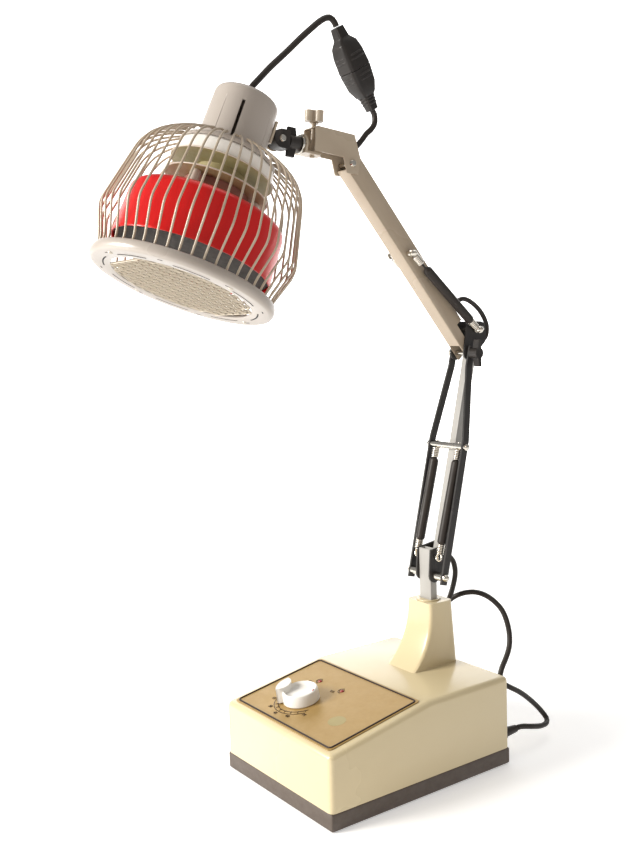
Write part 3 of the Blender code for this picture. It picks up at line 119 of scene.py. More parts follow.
half = stageSettings["floorHalf"]
floorData = bpy.data.meshes.new("paleFloor")
floorData.from_pydata([(-half, -half, 0), (half, -half, 0), (half, half, 0), (-half, half, 0)], [],
                      [(0, 1, 2, 3)])
floorPiece = bpy.data.objects.new("paleFloor", floorData)
floorPiece.location = (0, 0, -stageSettings["floorDrop"])
bpy.context.scene.collection.objects.link(floorPiece)
steps = stageSettings["wallSteps"]
around = np.radians(np.linspace(*stageSettings["wallSpan"], steps + 1))    # a curved wall behind the object
reach = stageSettings["wallRadius"]
wallRows = [[(reach * math.cos(a), reach * math.sin(a), z) for a in around]
            for z in (-0.01, stageSettings["wallHeight"])]
wallData = bpy.data.meshes.new("paleWall")
wallData.from_pydata(wallRows[0] + wallRows[1], [],
                     [(i, i + 1, i + steps + 2, i + steps + 1) for i in range(steps)])
wallPiece = bpy.data.objects.new("paleWall", wallData)
bpy.context.scene.collection.objects.link(wallPiece)


# Finishes
def finish(name, colour, roughness, metallic=0.0, second=None, grain=45, bump=0.06, fine=900,
           spread=0.08, worn=None, coat=0.0, shine=0.5):
    material = bpy.data.materials.new(name)
    material.use_nodes = True
    tree = material.node_tree
    shader = tree.nodes["Principled BSDF"]
    shader.inputs["Metallic"].default_value = metallic
    shader.inputs["Coat Weight"].default_value = coat
    shader.inputs["Coat Roughness"].default_value = 0.12
    shader.inputs["Specular IOR Level"].default_value = shine
    place = tree.nodes.new("ShaderNodeTexCoord").outputs["Object"]
    cloud = tree.nodes.new("ShaderNodeTexNoise")    # broad, faint colour drift
    cloud.inputs["Scale"].default_value = grain
    cloud.inputs["Detail"].default_value = 5
    tree.links.new(place, cloud.inputs["Vector"])
    mix = tree.nodes.new("ShaderNodeMix")
    mix.data_type = "RGBA"
    mix.inputs[6].default_value = (*colour, 1)
    mix.inputs[7].default_value = (*(second or [c * 0.82 for c in colour]), 1)
    tree.links.new(cloud.outputs["Fac"], mix.inputs[0])
    last = mix.outputs[2]
    if worn:    # rubbed edges
        edge = tree.nodes.new("ShaderNodeNewGeometry")
        band = tree.nodes.new("ShaderNodeMapRange")
        band.inputs["From Min"].default_value = 0.53
        band.inputs["From Max"].default_value = 0.62
        band.inputs["To Max"].default_value = 0.55
        tree.links.new(edge.outputs["Pointiness"], band.inputs["Value"])
        rub = tree.nodes.new("ShaderNodeMix")
        rub.data_type = "RGBA"
        rub.inputs[7].default_value = (*worn, 1)
        tree.links.new(band.outputs["Result"], rub.inputs[0])
        tree.links.new(last, rub.inputs[6])
        last = rub.outputs[2]
    tree.links.new(last, shader.inputs["Base Color"])
    smear = tree.nodes.new("ShaderNodeTexNoise")    # handling marks change the gloss
    smear.inputs["Scale"].default_value = grain * 0.35
    smear.inputs["Detail"].default_value = 4
    smear.inputs["Distortion"].default_value = 0.15
    tree.links.new(place, smear.inputs["Vector"])
    gloss = tree.nodes.new("ShaderNodeMapRange")
    gloss.inputs["From Min"].default_value = 0.3
    gloss.inputs["From Max"].default_value = 0.7
    gloss.inputs["To Min"].default_value = max(0.03, roughness - spread)
    gloss.inputs["To Max"].default_value = roughness + spread
    tree.links.new(smear.outputs["Fac"], gloss.inputs["Value"])
    tree.links.new(gloss.outputs["Result"], shader.inputs["Roughness"])
    speck = tree.nodes.new("ShaderNodeTexNoise")
    speck.inputs["Scale"].default_value = fine
    speck.inputs["Detail"].default_value = 3
    tree.links.new(place, speck.inputs["Vector"])
    lift = tree.nodes.new("ShaderNodeBump")
    lift.inputs["Strength"].default_value = bump
    lift.inputs["Distance"].default_value = 0.0006
    tree.links.new(speck.outputs["Fac"], lift.inputs["Height"])
    tree.links.new(lift.outputs["Normal"], shader.inputs["Normal"])
    return material


finishes = {
    "creamPlastic": finish("creamPlastic", (0.68, 0.58, 0.37), 0.26, second=(0.63, 0.52, 0.31), grain=14,
                           bump=0.05, spread=0.03, coat=0.2),
    "darkTray": finish("darkTray", (0.075, 0.055, 0.043), 0.55, second=(0.12, 0.095, 0.078), grain=160,
                       bump=0.35, fine=700),
    "goldSticker": finish("goldSticker", (0.47, 0.31, 0.115), 0.36, 0.3, second=(0.41, 0.265, 0.09),
                          grain=220, bump=0.05, fine=2400),
    "whitePlastic": finish("whitePlastic", (0.86, 0.84, 0.80), 0.26, second=(0.80, 0.78, 0.73), grain=30,
                           bump=0.03),
    "lampRed": finish("lampRed", (0.32, 0.03, 0.02), 0.18, bump=0.02, coat=0.5),
    "blackPlastic": finish("blackPlastic", (0.017, 0.015, 0.014), 0.36, shine=0.28,
                           second=(0.032, 0.028, 0.026), grain=70, bump=0.12, worn=(0.09, 0.08, 0.075)),
    "blackSteel": finish("blackSteel", (0.018, 0.017, 0.017), 0.34, shine=0.28,
                         second=(0.034, 0.032, 0.032), grain=55, bump=0.10, worn=(0.14, 0.13, 0.12)),
    "chrome": finish("chrome", (0.78, 0.75, 0.69), 0.16, 1.0, second=(0.60, 0.56, 0.49), grain=90, bump=0.03),
    "brass": finish("brass", (0.62, 0.30, 0.09), 0.26, 1.0, second=(0.45, 0.20, 0.05), grain=90, bump=0.04),
    "greyPaint": finish("greyPaint", (0.36, 0.35, 0.33), 0.36, second=(0.30, 0.29, 0.27), grain=40, bump=0.10,
                        worn=(0.60, 0.59, 0.56)),
    "creamPaint": finish("creamPaint", (0.45, 0.37, 0.28), 0.30, second=(0.39, 0.31, 0.225), grain=26,
                         bump=0.09, worn=(0.66, 0.60, 0.48), coat=0.15),
    "greyCap": finish("greyCap", (0.43, 0.385, 0.345), 0.34, second=(0.37, 0.325, 0.285), grain=24, bump=0.08,
                      worn=(0.66, 0.62, 0.57), coat=0.1),
    # painted shade: a near-black finish for the shade inside the grille's slots and notches
    "paintedSlotShade": finish("paintedSlotShade", (0.012, 0.010, 0.009), 0.7, bump=0.05),
    "zinc": finish("zinc", (0.60, 0.56, 0.49), 0.30, 1.0, second=(0.46, 0.42, 0.36), grain=120, bump=0.06),
    "redAnodised": finish("redAnodised", (0.74, 0.008, 0.007), 0.30, 0.25, second=(0.60, 0.005, 0.005),
                          grain=16, bump=0.03, coat=0.15),
    "oliveBoard": finish("oliveBoard", (0.30, 0.25, 0.11), 0.5, second=(0.42, 0.36, 0.19), grain=150,
                         bump=0.15),
    "mineral": finish("mineral", (0.022, 0.019, 0.018), 0.72, second=(0.05, 0.042, 0.038), grain=300,
                      bump=0.45),
    "ceramic": finish("ceramic", (0.66, 0.60, 0.52), 0.42, second=(0.55, 0.48, 0.40), grain=80, bump=0.08),
    "roseCan": finish("roseCan", (0.34, 0.16, 0.12), 0.48, 0.3, second=(0.25, 0.11, 0.085), grain=60,
                      bump=0.10),
    "rubber": finish("rubber", (0.020, 0.016, 0.014), 0.44, shine=0.28,
                     second=(0.036, 0.029, 0.025), grain=80, bump=0.18),
    "ink": finish("ink", (0.030, 0.014, 0.008), 0.5, bump=0.02),
    "greenTint": finish("greenTint", (0.44, 0.36, 0.155), 0.40, 0.3, bump=0.02),
    "redInk": finish("redInk", (0.55, 0.02, 0.015), 0.4, bump=0.02),
    "floorPaint": finish("floorPaint", (0.93, 0.93, 0.93), 0.8, second=(0.92, 0.92, 0.92), grain=3,
                         bump=0.01),
}
for stageData, glow in ((floorData, stageSettings["floorGlow"]), (wallData, stageSettings["wallGlow"])):
    stagePaint = finishes["floorPaint"] if glow < 1 else finishes["floorPaint"].copy()
    stagePaint.node_tree.nodes["Principled BSDF"].inputs["Emission Color"].default_value = (1, 1, 1, 1)
    stagePaint.node_tree.nodes["Principled BSDF"].inputs["Emission Strength"].default_value = glow
    stageData.materials.append(stagePaint)
print("finishes:", len(finishes))


# Ways of making pieces
def show(piece, finishName, body, *replaced):
    piece.data.materials.clear()
    piece.data.materials.append(finishes[finishName])
    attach(piece, body)
    if replaced:
        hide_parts(*replaced)
    return piece


def linked(name, data):
    piece = bpy.data.objects.new(name, data)
    bpy.context.scene.collection.objects.link(piece)
    return piece


# a welded copy of the frame's own mesh, flat faces joined, smooth shaded, with soft edges where a bevel is given
def softened(node, finishName, body, bevel=0.0004, angle=32, segments=2):
    work = bmesh.new()
    work.from_mesh(nodes[node].data)
    bmesh.ops.remove_doubles(work, verts=work.verts, dist=0.000002)
    bmesh.ops.dissolve_limit(work, angle_limit=math.radians(0.6), verts=work.verts, edges=work.edges)
    data = bpy.data.meshes.new(node + "Look")
    work.to_mesh(data)
    work.free()
    if "custom_normal" in data.attributes:
        data.attributes.remove(data.attributes["custom_normal"])
    data.shade_smooth()
    data.set_sharp_from_angle(angle=math.radians(angle))
    piece = linked(node + "Look", data)
    if bevel:
        edge = piece.modifiers.new("softEdge", "BEVEL")
        edge.width = bevel
        edge.segments = segments
        edge.limit_method = "ANGLE"
        edge.angle_limit = math.radians(angle)
        edge.harden_normals = True
    return show(piece, finishName, body, node)


# a frame at origin whose Z is upward, and whose Y is as near forward as square corners allow
def framed(origin, upward, forward):
    z = Vector(upward).normalized()
    y = Vector(forward).normalized()
    x = y.cross(z).normalized()
    y = z.cross(x)
    return Matrix.Translation(origin) @ Matrix((x, y, z)).transposed().to_4x4()


def turned(name, profile, frameMatrix, steps=96, ring=False):
    # each profile point (r, h) goes round the axis: x = r cos a, y = r sin a, z = h
    r, h = np.array(profile, float).T
    a = np.linspace(0, 2 * np.pi, steps, endpoint=False)[:, None]
    grid = np.stack([r * np.cos(a), r * np.sin(a), h + 0 * a], -1)
    grid = grid.reshape(-1, 3) @ np.array(frameMatrix.to_3x3()).T + np.array(frameMatrix.translation)
    count = len(r)
    i, j = np.meshgrid(np.arange(steps), np.arange(count if ring else count - 1), indexing="ij")
    k, m = (i + 1) % steps, (j + 1) % count
    faces = np.stack([i * count + j, k * count + j, k * count + m, i * count + m], -1).reshape(-1, 4)
    data = bpy.data.meshes.new(name)
    data.from_pydata(grid.tolist(), [], faces.tolist())
    work = bmesh.new()
    work.from_mesh(data)
    bmesh.ops.remove_doubles(work, verts=work.verts, dist=0.0000005)
    bmesh.ops.recalc_face_normals(work, faces=work.faces)
    work.to_mesh(data)
    work.free()
    data.shade_smooth()
    data.set_sharp_from_angle(angle=math.radians(38))
    return linked(name, data)


# a round wire along each route: a circle of the radius carried square to the line through the points
def wires(name, routes, radius, frameMatrix=Matrix(), closed=False, sides=3, smooth=True):
    curve = bpy.data.curves.new(name, "CURVE")
    curve.dimensions = "3D"
    curve.bevel_depth = radius
    curve.bevel_resolution = sides
    curve.use_fill_caps = not closed
    for route in routes:
        spline = curve.splines.new("POLY")
        spline.points.add(len(route) - 1)
        flat = np.array([(*(frameMatrix @ Vector(p)), 1) for p in route], np.float32)
        spline.points.foreach_set("co", flat.ravel())
        spline.use_cyclic_u = closed
        spline.use_smooth = smooth
    return linked(name, curve)


def smoothRoute(route, spacing):
    # a Catmull-Rom curve through the points, then cut at even spacing
    p = np.array([tuple(point) for point in route], float)
    p = np.vstack([2 * p[0] - p[1], p, 2 * p[-1] - p[-2]])
    t = np.linspace(0, 1, 24, endpoint=False)[:, None]
    runs = [0.5 * (2 * b + (c - a) * t + (2 * a - 5 * b + 4 * c - d) * t ** 2
                   + (3 * b - a - 3 * c + d) * t ** 3)
            for a, b, c, d in zip(p, p[1:], p[2:], p[3:])]
    fine = np.vstack([*runs, p[-2]])
    reach = np.concatenate([[0], np.cumsum(np.linalg.norm(np.diff(fine, axis=0), axis=1))])
    at = np.linspace(0, reach[-1], max(4, int(reach[-1] / spacing)) + 1)
    return np.stack([np.interp(at, reach, fine[:, k]) for k in range(3)], -1), reach[-1]


# Cords
cordSettings = {
    "leadWidth": 0.0062,
    "headLeadWidth": 0.0066,
    "loopWidth": 0.0056,
}
bracketCorner = Vector((0, -0.0013, 0.6946))
elbowBolt = Vector((0, 0.15613, 0.45908))
rearEdge = Vector((0, 0.125, 0))
headFrame = framed((0, -0.2122, 0.5355), (0, 0.4091, 0.9125), (0, 0.9125, -0.4091))
socketTop = bracketCorner + Vector((0, -0.0145, 0.1105))
plugEnd = bracketCorner + Vector((0, 0.0305, 0.0310))
alongPlug = (plugEnd - socketTop).normalized()
headRoute = [headFrame @ Vector((0, 0, 0.2111)), headFrame @ Vector((0, 0, 0.2163))]
headRoute += [bracketCorner + Vector((0, y, z)) for y, z in (
    (-0.1162, 0.0444), (-0.0987, 0.0609), (-0.0787, 0.0779), (-0.0605, 0.0940), (-0.0447, 0.1070),
    (-0.0352, 0.1143), (-0.0275, 0.1184), (-0.0222, 0.1190))]
headRoute += [socketTop - 0.006 * alongPlug, socketTop - 0.0008 * alongPlug]
leadRoute = [plugEnd + 0.0008 * alongPlug, plugEnd + 0.006 * alongPlug]
leadRoute += [bracketCorner + Vector((0, y, z)) for y, z in (
    (0.0333, 0.0172), (0.0283, 0.0104), (0.0218, 0.0054), (0.0163, -0.0006), (0.0098, -0.0071),
    (0.0038, -0.0116))]
loopRoute = [elbowBolt + Vector((0, y, z)) for y, z in (
    (-0.0160, 0.0515), (-0.0116, 0.0554), (-0.0046, 0.0614), (0.0059, 0.0629), (0.0199, 0.0569),
    (0.0329, 0.0459), (0.0409, 0.0319), (0.0399, 0.0194), (0.0324, 0.0124), (0.0231, 0.0099))]
supplyRoute = [rearEdge + Vector(point) for point in (
    (0, -0.0015, 0.2215), (0, 0.0050, 0.2190), (0, 0.0115, 0.2110), (0, 0.0138, 0.1980),
    (-0.0010, 0.0115, 0.1840), (-0.0030, 0.0075, 0.1700), (-0.0080, 0.0050, 0.1570), (-0.0165, 0.0050, 0.1455),
    (-0.0260, 0.0080, 0.1375), (-0.0340, 0.0145, 0.1350), (-0.0355, 0.0220, 0.1390), (-0.0300, 0.0240, 0.1475),
    (-0.0210, 0.0205, 0.1565), (-0.0120, 0.0178, 0.1629), (-0.0050, 0.0205, 0.1680), (0.0040, 0.0255, 0.1722),
    (0.0140, 0.0323, 0.1737), (0.0250, 0.0379, 0.1713), (0.0360, 0.0416, 0.1655), (0.0460, 0.0445, 0.1562),
    (0.0530, 0.0453, 0.1431), (0.0580, 0.0440, 0.1280), (0.0615, 0.0390, 0.1150), (0.0630, 0.0315, 0.1040),
    (0.0640, 0.0240, 0.0945), (0.0650, 0.0205, 0.0850), (0.0670, 0.0240, 0.0775), (0.0690, 0.0335, 0.0710),
    (0.0690, 0.0475, 0.0625), (0.0680, 0.0630, 0.0510), (0.0680, 0.0780, 0.0375), (0.0705, 0.0860, 0.0275),
    (0.0755, 0.0870, 0.0215), (0.0810, 0.0795, 0.0195), (0.0845, 0.0660, 0.0210), (0.0855, 0.0500, 0.0250),
    (0.0845, 0.0380, 0.0280))]
supplyRoute += [rearEdge + Vector((0.0840, 0.0315, 0.0290)), rearEdge + Vector((0.0840, 0.0255, 0.0290))]


def addCord(name, route, width, body, node, bend=None):
    points, reach = smoothRoute(route, 0.6 * width)
    piece = wires(name, [points], width / 2, sides=5)
    if bend:    # a cord given a bend is made a welded mesh tube, attached to no body; the bend's entries are not read
        bpy.context.view_layer.update()
        graph = bpy.context.evaluated_depsgraph_get()
        data = bpy.data.meshes.new_from_object(piece.evaluated_get(graph))
        bpy.data.objects.remove(piece)
        weld = bmesh.new()
        weld.from_mesh(data)
        bmesh.ops.remove_doubles(weld, verts=weld.verts, dist=0.00001)
        bmesh.ops.recalc_face_normals(weld, faces=weld.faces)
        weld.to_mesh(data)
        weld.free()
        data.shade_smooth()
        piece = linked(name, data)
        piece.data.materials.clear()
        piece.data.materials.append(finishes["rubber"])
        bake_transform(piece)
        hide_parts(node)
    else:
        show(piece, "rubber", body, node)
    print(name, "length", round(float(reach), 3))


connectors = [softened("cord_socket", "blackPlastic", "upper_arm", 0.0018, 25, 3),
              softened("cord_plug", "blackPlastic", "upper_arm", 0.0014, 25, 3)]
addCord("supplyCordLook", supplyRoute, cordSettings["leadWidth"], "post", "supply_cord",
        bend=("base", (0, 0.137, 0.205), (0, 0.137, 0.125)))
addCord("loopCordLook", loopRoute, cordSettings["loopWidth"], "elbow", "elbow_cord",
        bend=("upper_arm", loopRoute[-1], loopRoute[0]))
addCord("headCordLook", headRoute, cordSettings["headLeadWidth"], "upper_arm", "head_cord")
addCord("armLeadLook", leadRoute, cordSettings["leadWidth"], "upper_arm", "arm_lead")


def ribbed(name, start, ends, size, body):
    # rounded rectangular rings round the straight line from start: |x/w|^3 + |y/d|^3 = 1
    turn = framed(start, alongPlug, (1, 0, 0))
    routes = []
    for distance, wide, deep in ends:
        a = np.linspace(0, 2 * np.pi, 40, endpoint=False)
        shape = (np.abs(np.cos(a)) ** 3 + np.abs(np.sin(a)) ** 3) ** (-1 / 3)
        routes.append(np.stack([wide * shape * np.cos(a), deep * shape * np.sin(a), distance + 0 * a], -1))
    piece = wires(name, routes, size, turn, closed=True)
    return show(piece, "blackPlastic", body)


ribbed("socketRibs", socketTop, ((0.0125, 0.0066, 0.0066), (0.0160, 0.0080, 0.0078), (0.0300, 0.0138, 0.0126),
                                 (0.0345, 0.0142, 0.0130)), 0.0011, "upper_arm")
ribbed("plugRibs", socketTop, ((0.0520, 0.0141, 0.0128), (0.0570, 0.0136, 0.0124), (0.0770, 0.0070, 0.0070),
                               (0.0805, 0.0066, 0.0066), (0.0840, 0.0062, 0.0062)), 0.0011, "upper_arm")
print("cords done")

# Base
baseFinishes = {
    "base_housing": ("creamPlastic", 0.0), "base_tray": ("darkTray", 0.0022),
    "control_panel": ("goldSticker", 0.0002), "timer_module": ("whitePlastic", 0.0005),
    "cord_gland": ("rubber", 0.0004), "mains_inlet": ("blackPlastic", 0.0006),
}
for node, (look, bevel) in baseFinishes.items():
    softened(node, look, "base", bevel)

panelSettings = {
    "halfWidth": 0.0862,
    "front": 0.0092,
    "back": 0.1248,
    "corner": 0.004,
    "line": 0.0010,
    "scaleRadius": 0.0265,
    "knobAt": (-0.022, 0.0522),
    "lamps": ((-0.041, 0.0917), (0.0, 0.0917)),
}
panelFrame = framed((0, -0.125, 0.0779), (0, -0.1710, 0.9853), (0, 0.9853, 0.1710))
panelTop = 0.00125


# points on a circle at one height: x = cx + r cos a, y = cy + r sin a, for a between two angles
def arcPoints(centre, radius, first, last, steps, height):
    a = np.radians(np.linspace(first, last, steps))
    return np.stack([centre[0] + radius * np.cos(a), centre[1] + radius * np.sin(a), height + 0 * a], -1)


def printedPanel(settings):
    w, v0, v1, c = (settings[key] for key in ("halfWidth", "front", "back", "corner"))
    border = np.vstack([arcPoints((w - c, v1 - c), c, 0, 90, 8, panelTop),
                        arcPoints((-w + c, v1 - c), c, 90, 180, 8, panelTop),
                        arcPoints((-w + c, v0 + c), c, 180, 270, 8, panelTop),
                        arcPoints((w - c, v0 + c), c, 270, 360, 8, panelTop)])
    show(wires("panelBorder", [border], settings["line"], panelFrame, closed=True), "ink", "base")
    knob, reach = settings["knobAt"], settings["scaleRadius"]
    lines = [arcPoints(knob, reach, 190, 340, 40, panelTop),
             arcPoints(knob, reach + 0.0045, 205, 330, 36, panelTop)]
    for step in range(9):
        a = 200 + 16.5 * step
        lines.append(np.vstack([arcPoints(knob, reach - 0.001, a, a, 1, panelTop),
                                arcPoints(knob, reach + 0.003, a, a, 1, panelTop)]))
    for x, v in settings["lamps"]:
        lines.append(arcPoints((x, v), 0.0046, 100, 290, 14, panelTop))
        for step in range(3):    # plain strokes where wording would be
            along = x - 0.0115 + 0.0022 * step
            lines.append([(along, v - 0.0055, panelTop), (along + 0.0010, v - 0.0085, panelTop)])
    show(wires("panelLines", lines, 0.00034, panelFrame), "ink", "base")
    digits = []
    for step in range(5):
        a = math.radians(208 + 30 * step)
        text = bpy.data.curves.new("panelDigit", "FONT")
        text.body = str(15 * (step + 1))
        text.size = 0.0056
        text.extrude = 0.0002
        text.align_x = "CENTER"
        digit = linked("panelDigit" + str(step), text)
        out = reach + 0.0085
        where = Vector((knob[0] + out * math.cos(a), knob[1] + out * math.sin(a) - 0.0018, panelTop))
        digit.matrix_world = panelFrame @ Matrix.Translation(where)
        digits.append(digit)
    bpy.context.view_layer.update()
    for digit in digits:
        graph = bpy.context.evaluated_depsgraph_get()
        data = bpy.data.meshes.new_from_object(digit.evaluated_get(graph))
        data.transform(digit.matrix_world)
        show(linked(digit.name + "Print", data), "ink", "base")
        bpy.data.objects.remove(digit)
    mark = turned("panelMark", [(0, 0.00122), (0.0098, 0.00122), (0.0098, 0.0006), (0, 0.0006)],
                  panelFrame @ Matrix.Translation((0.0483, 0.0473, 0)), 48)
    show(mark, "greenTint", "base")
    for number, (x, v) in enumerate(settings["lamps"], 1):
        dome = [(0, 0.0026), (0.0011, 0.0024), (0.0020, 0.0018), (0.0026, 0.0009), (0.0026, -0.004),
                (0, -0.004)]
        lamp = turned("lampLook" + str(number), dome, panelFrame @ Matrix.Translation((x, v, 0)), 32)
        show(lamp, "lampRed", "base", "indicator_lamp_" + str(number))


printedPanel(panelSettings)

knobSettings = {
    "radius": 0.0205,
    "height": 0.0150,
    "low": 0.0014,
    "wingTurn": 205,      # degrees from the panel's +X
}


def timerKnob(settings):
    r, h, low = settings["radius"], settings["height"], settings["low"]
    knob = panelFrame @ Matrix.Translation((*panelSettings["knobAt"], 0))
    skirt = [(0, h - 0.004), (r - 0.007, h - 0.004), (r - 0.0048, h - 0.0034), (r - 0.0036, h - 0.0010),
             (r - 0.0026, h), (r - 0.0012, h - 0.0008), (r - 0.0005, h - 0.0030), (r, low + 0.001),
             (r - 0.0008, low), (0, low)]
    show(turned("timerKnobLook", skirt, knob, 96), "whitePlastic", "timer_knob", "timer_knob")
    # the raised grip: a crescent wall over one side of the rim, hollow towards the middle
    wing = bmesh.new()
    outerTurns, innerTurns = np.radians(np.linspace(-34, 34, 13)), np.radians(np.linspace(80, -80, 13))
    outer = [(math.cos(a) * (r + 0.0062), math.sin(a) * (r + 0.0062)) for a in outerTurns]
    inner = [(r + 0.004 - 0.0115 * math.cos(a), 0.0145 * math.sin(a)) for a in innerTurns]
    outline = outer + inner
    lowRow = [wing.verts.new((x, y, low + 0.0012)) for x, y in outline]
    topRow = [wing.verts.new((x * 0.985, y * 0.97, h + 0.0042)) for x, y in outline]
    wing.faces.new(lowRow[::-1])
    wing.faces.new(topRow)
    for i in range(len(outline)):
        j = (i + 1) % len(outline)
        wing.faces.new((lowRow[i], lowRow[j], topRow[j], topRow[i]))
    data = bpy.data.meshes.new("knobWing")
    bmesh.ops.recalc_face_normals(wing, faces=wing.faces)
    wing.to_mesh(data)
    wing.free()
    data.transform(knob @ Matrix.Rotation(math.radians(settings["wingTurn"]), 4, "Z"))
    data.shade_smooth()
    data.set_sharp_from_angle(angle=math.radians(30))
    piece = linked("knobWing", data)
    edge = piece.modifiers.new("softEdge", "BEVEL")
    edge.width, edge.segments = 0.0009, 3
    show(piece, "whitePlastic", "timer_knob")
    notch = knob @ Matrix.Rotation(math.radians(settings["wingTurn"] + 180), 4, "Z")
    dash = [(r - 0.0035, -0.0012, h - 0.0001), (r - 0.0035, 0.0012, h - 0.0001)]
    show(wires("knobMark", [dash], 0.0006, notch), "redInk", "timer_knob")


timerKnob(knobSettings)
print("base done")

# Post, arms and springs
armFinishes = {
    "post": {"post": ("greyPaint", 0.0008), "post_collar": ("creamPlastic", 0.0006),
             "post_bracket_left": ("blackSteel", 0.0003), "post_bracket_right": ("blackSteel", 0.0003),
             "lower_pivot_pin": ("chrome", 0.0002), "rear_pivot_pin": ("chrome", 0.0002)},
    "lower_arm": {"lower_bar_left": ("blackSteel", 0.0004), "lower_bar_right": ("blackSteel", 0.0004),
                  "cross_rod": ("chrome", 0.0002)},
    "lower_springs": {"lower_spring_left": ("rubber", 0.0004), "lower_spring_right": ("rubber", 0.0004)},
    "rear_link": {"rear_link": ("greyPaint", 0.0008)},
    "elbow": {"elbow_plate_left": ("blackSteel", 0.0003), "elbow_plate_right": ("blackSteel", 0.0003),
              "elbow_bolt": ("chrome", 0.0002), "link_pin": ("chrome", 0.0002),
              "spring_anchor_pin": ("chrome", 0.0002)},
    "elbow_knob": {"elbow_knob": ("blackPlastic", 0.0010)},
    "upper_arm": {"upper_arm": ("creamPaint", 0.0010), "upper_spring_pin": ("chrome", 0.0002),
                  "head_bracket": ("creamPaint", 0.0005), "bracket_bolt": ("chrome", 0.0003)},
    "upper_springs": {"upper_spring_left": ("rubber", 0.0004), "upper_spring_right": ("rubber", 0.0004)},
    "thumb_screw": {"thumb_screw": ("creamPaint", 0.0010)},
    "yoke": {"swivel_yoke": ("creamPaint", 0.0005)},
    "knuckle": {"tilt_stud": ("chrome", 0.0003), "knuckle_block": ("blackPlastic", 0.0010)},
    "tilt_knob": {"tilt_knob": ("blackPlastic", 0.0010)},
}
for body, group in armFinishes.items():
    for node, (look, bevel) in group.items():
        softened(node, look, body, bevel)

for side in (-1, 1):
    tube = [(0.0044, 0.0), (0.0044, 0.0138), (0.0030, 0.0138), (0.0030, 0.0)]
    where = framed((side * 0.0123, 0.0955, 0.2046), (side, 0, 0), (0, 1, 0))
    show(turned("pivotSleeve" + ("Left", "", "Right")[side + 1], tube, where, 40, ring=True), "brass", "post")

hookSettings = {
    "wire": 0.0010,
    "reach": 0.012,
    "loop": 0.0042,
}


def springHooks(name, low, high, side, bodies, settings):
    # a coil end then an eye round each pin, drawn in the spring's own line
    low, high = Vector(low), Vector(high)
    line = (high - low).normalized()
    for end, (pin, inward, body) in enumerate(((low, line, bodies[0]), (high, -line, bodies[1]))):
        turn = framed(pin + Vector((side, 0, 0)), inward, (1, 0, 0))
        a = np.linspace(0, 2 * np.pi, 22)
        eye = np.stack([0 * a, settings["loop"] * np.sin(a), settings["loop"] * -np.cos(a)], -1)
        b = np.linspace(0, 6 * 2 * np.pi, 100)
        rise = settings["loop"] + settings["reach"] * b / b[-1]
        coil = np.stack([0.0036 * np.cos(b), 0.0036 * np.sin(b), rise], -1)
        piece = wires(name + ("Low", "High")[end], [np.vstack([eye, coil])], settings["wire"], turn)
        show(piece, "chrome", body)


for side, word in ((0.0185, "Right"), (-0.0185, "Left")):
    springHooks("lowerHook" + word, (0, 0.0963, 0.2266), (0, 0.1306, 0.3521), side,
                ("lower_springs", "lower_arm"), hookSettings)
for side, word in ((0.0175, "Right"), (-0.0175, "Left")):
    springHooks("upperHook" + word, (0, 0.16513, 0.48608), (0, 0.0673, 0.5724), side,
                ("upper_springs", "upper_arm"), hookSettings)
print("arm done")

# Head
headLooks = {
    "drum": "whitePlastic", "heat_shields": "oliveBoard", "mineral_plate": "mineral",
    "heating_element": "ceramic", "head_saddle": "creamPaint", "knuckle_pin": "chrome",
    "cap_grommet": "rubber", "standoff_1": "ceramic", "standoff_2": "ceramic", "standoff_3": "ceramic",
    "cage_ring": "greyCap", "inner_can": "roseCan", "head_cap": "greyCap",
}
for node, look in headLooks.items():
    softened(node, look, "head", 0.0003)

cupSettings = {
    "radius": 0.0795,
    "wall": 0.0012,
    "low": 0.0280,
    "top": 0.0835,
}


def heaterCup(settings):
    r, t, low, top = (settings[key] for key in ("radius", "wall", "low", "top"))
    outer = [(0.018, top), (r - 0.0105, top), (r - 0.0070, top - 0.0007), (r - 0.0045, top - 0.0025),
             (r - 0.0028, top - 0.0048), (r - 0.0020, top - 0.0080), (r - 0.0002, low + 0.0030),
             (r + 0.0003, low + 0.0016), (r, low)]
    inner = [(r - t, low), (r - 0.0020 - t, top - 0.0085), (r - 0.0045 - t, top - 0.0040),
             (r - 0.011, top - t), (0.018, top - t)]
    show(turned("heaterCupLook", outer + inner, headFrame, 128, ring=True), "redAnodised", "head",
         "heater_cup")


heaterCup(cupSettings)

cageSettings = {
    "wires": 48,
    "radius": 0.00112,
    "profile": ((0.0868, 0.0062), (0.0866, 0.0150), (0.0987, 0.0505), (0.0842, 0.1170), (0.0770, 0.1290),
                (0.0660, 0.1375), (0.0520, 0.1445), (0.0480, 0.1460)),
}


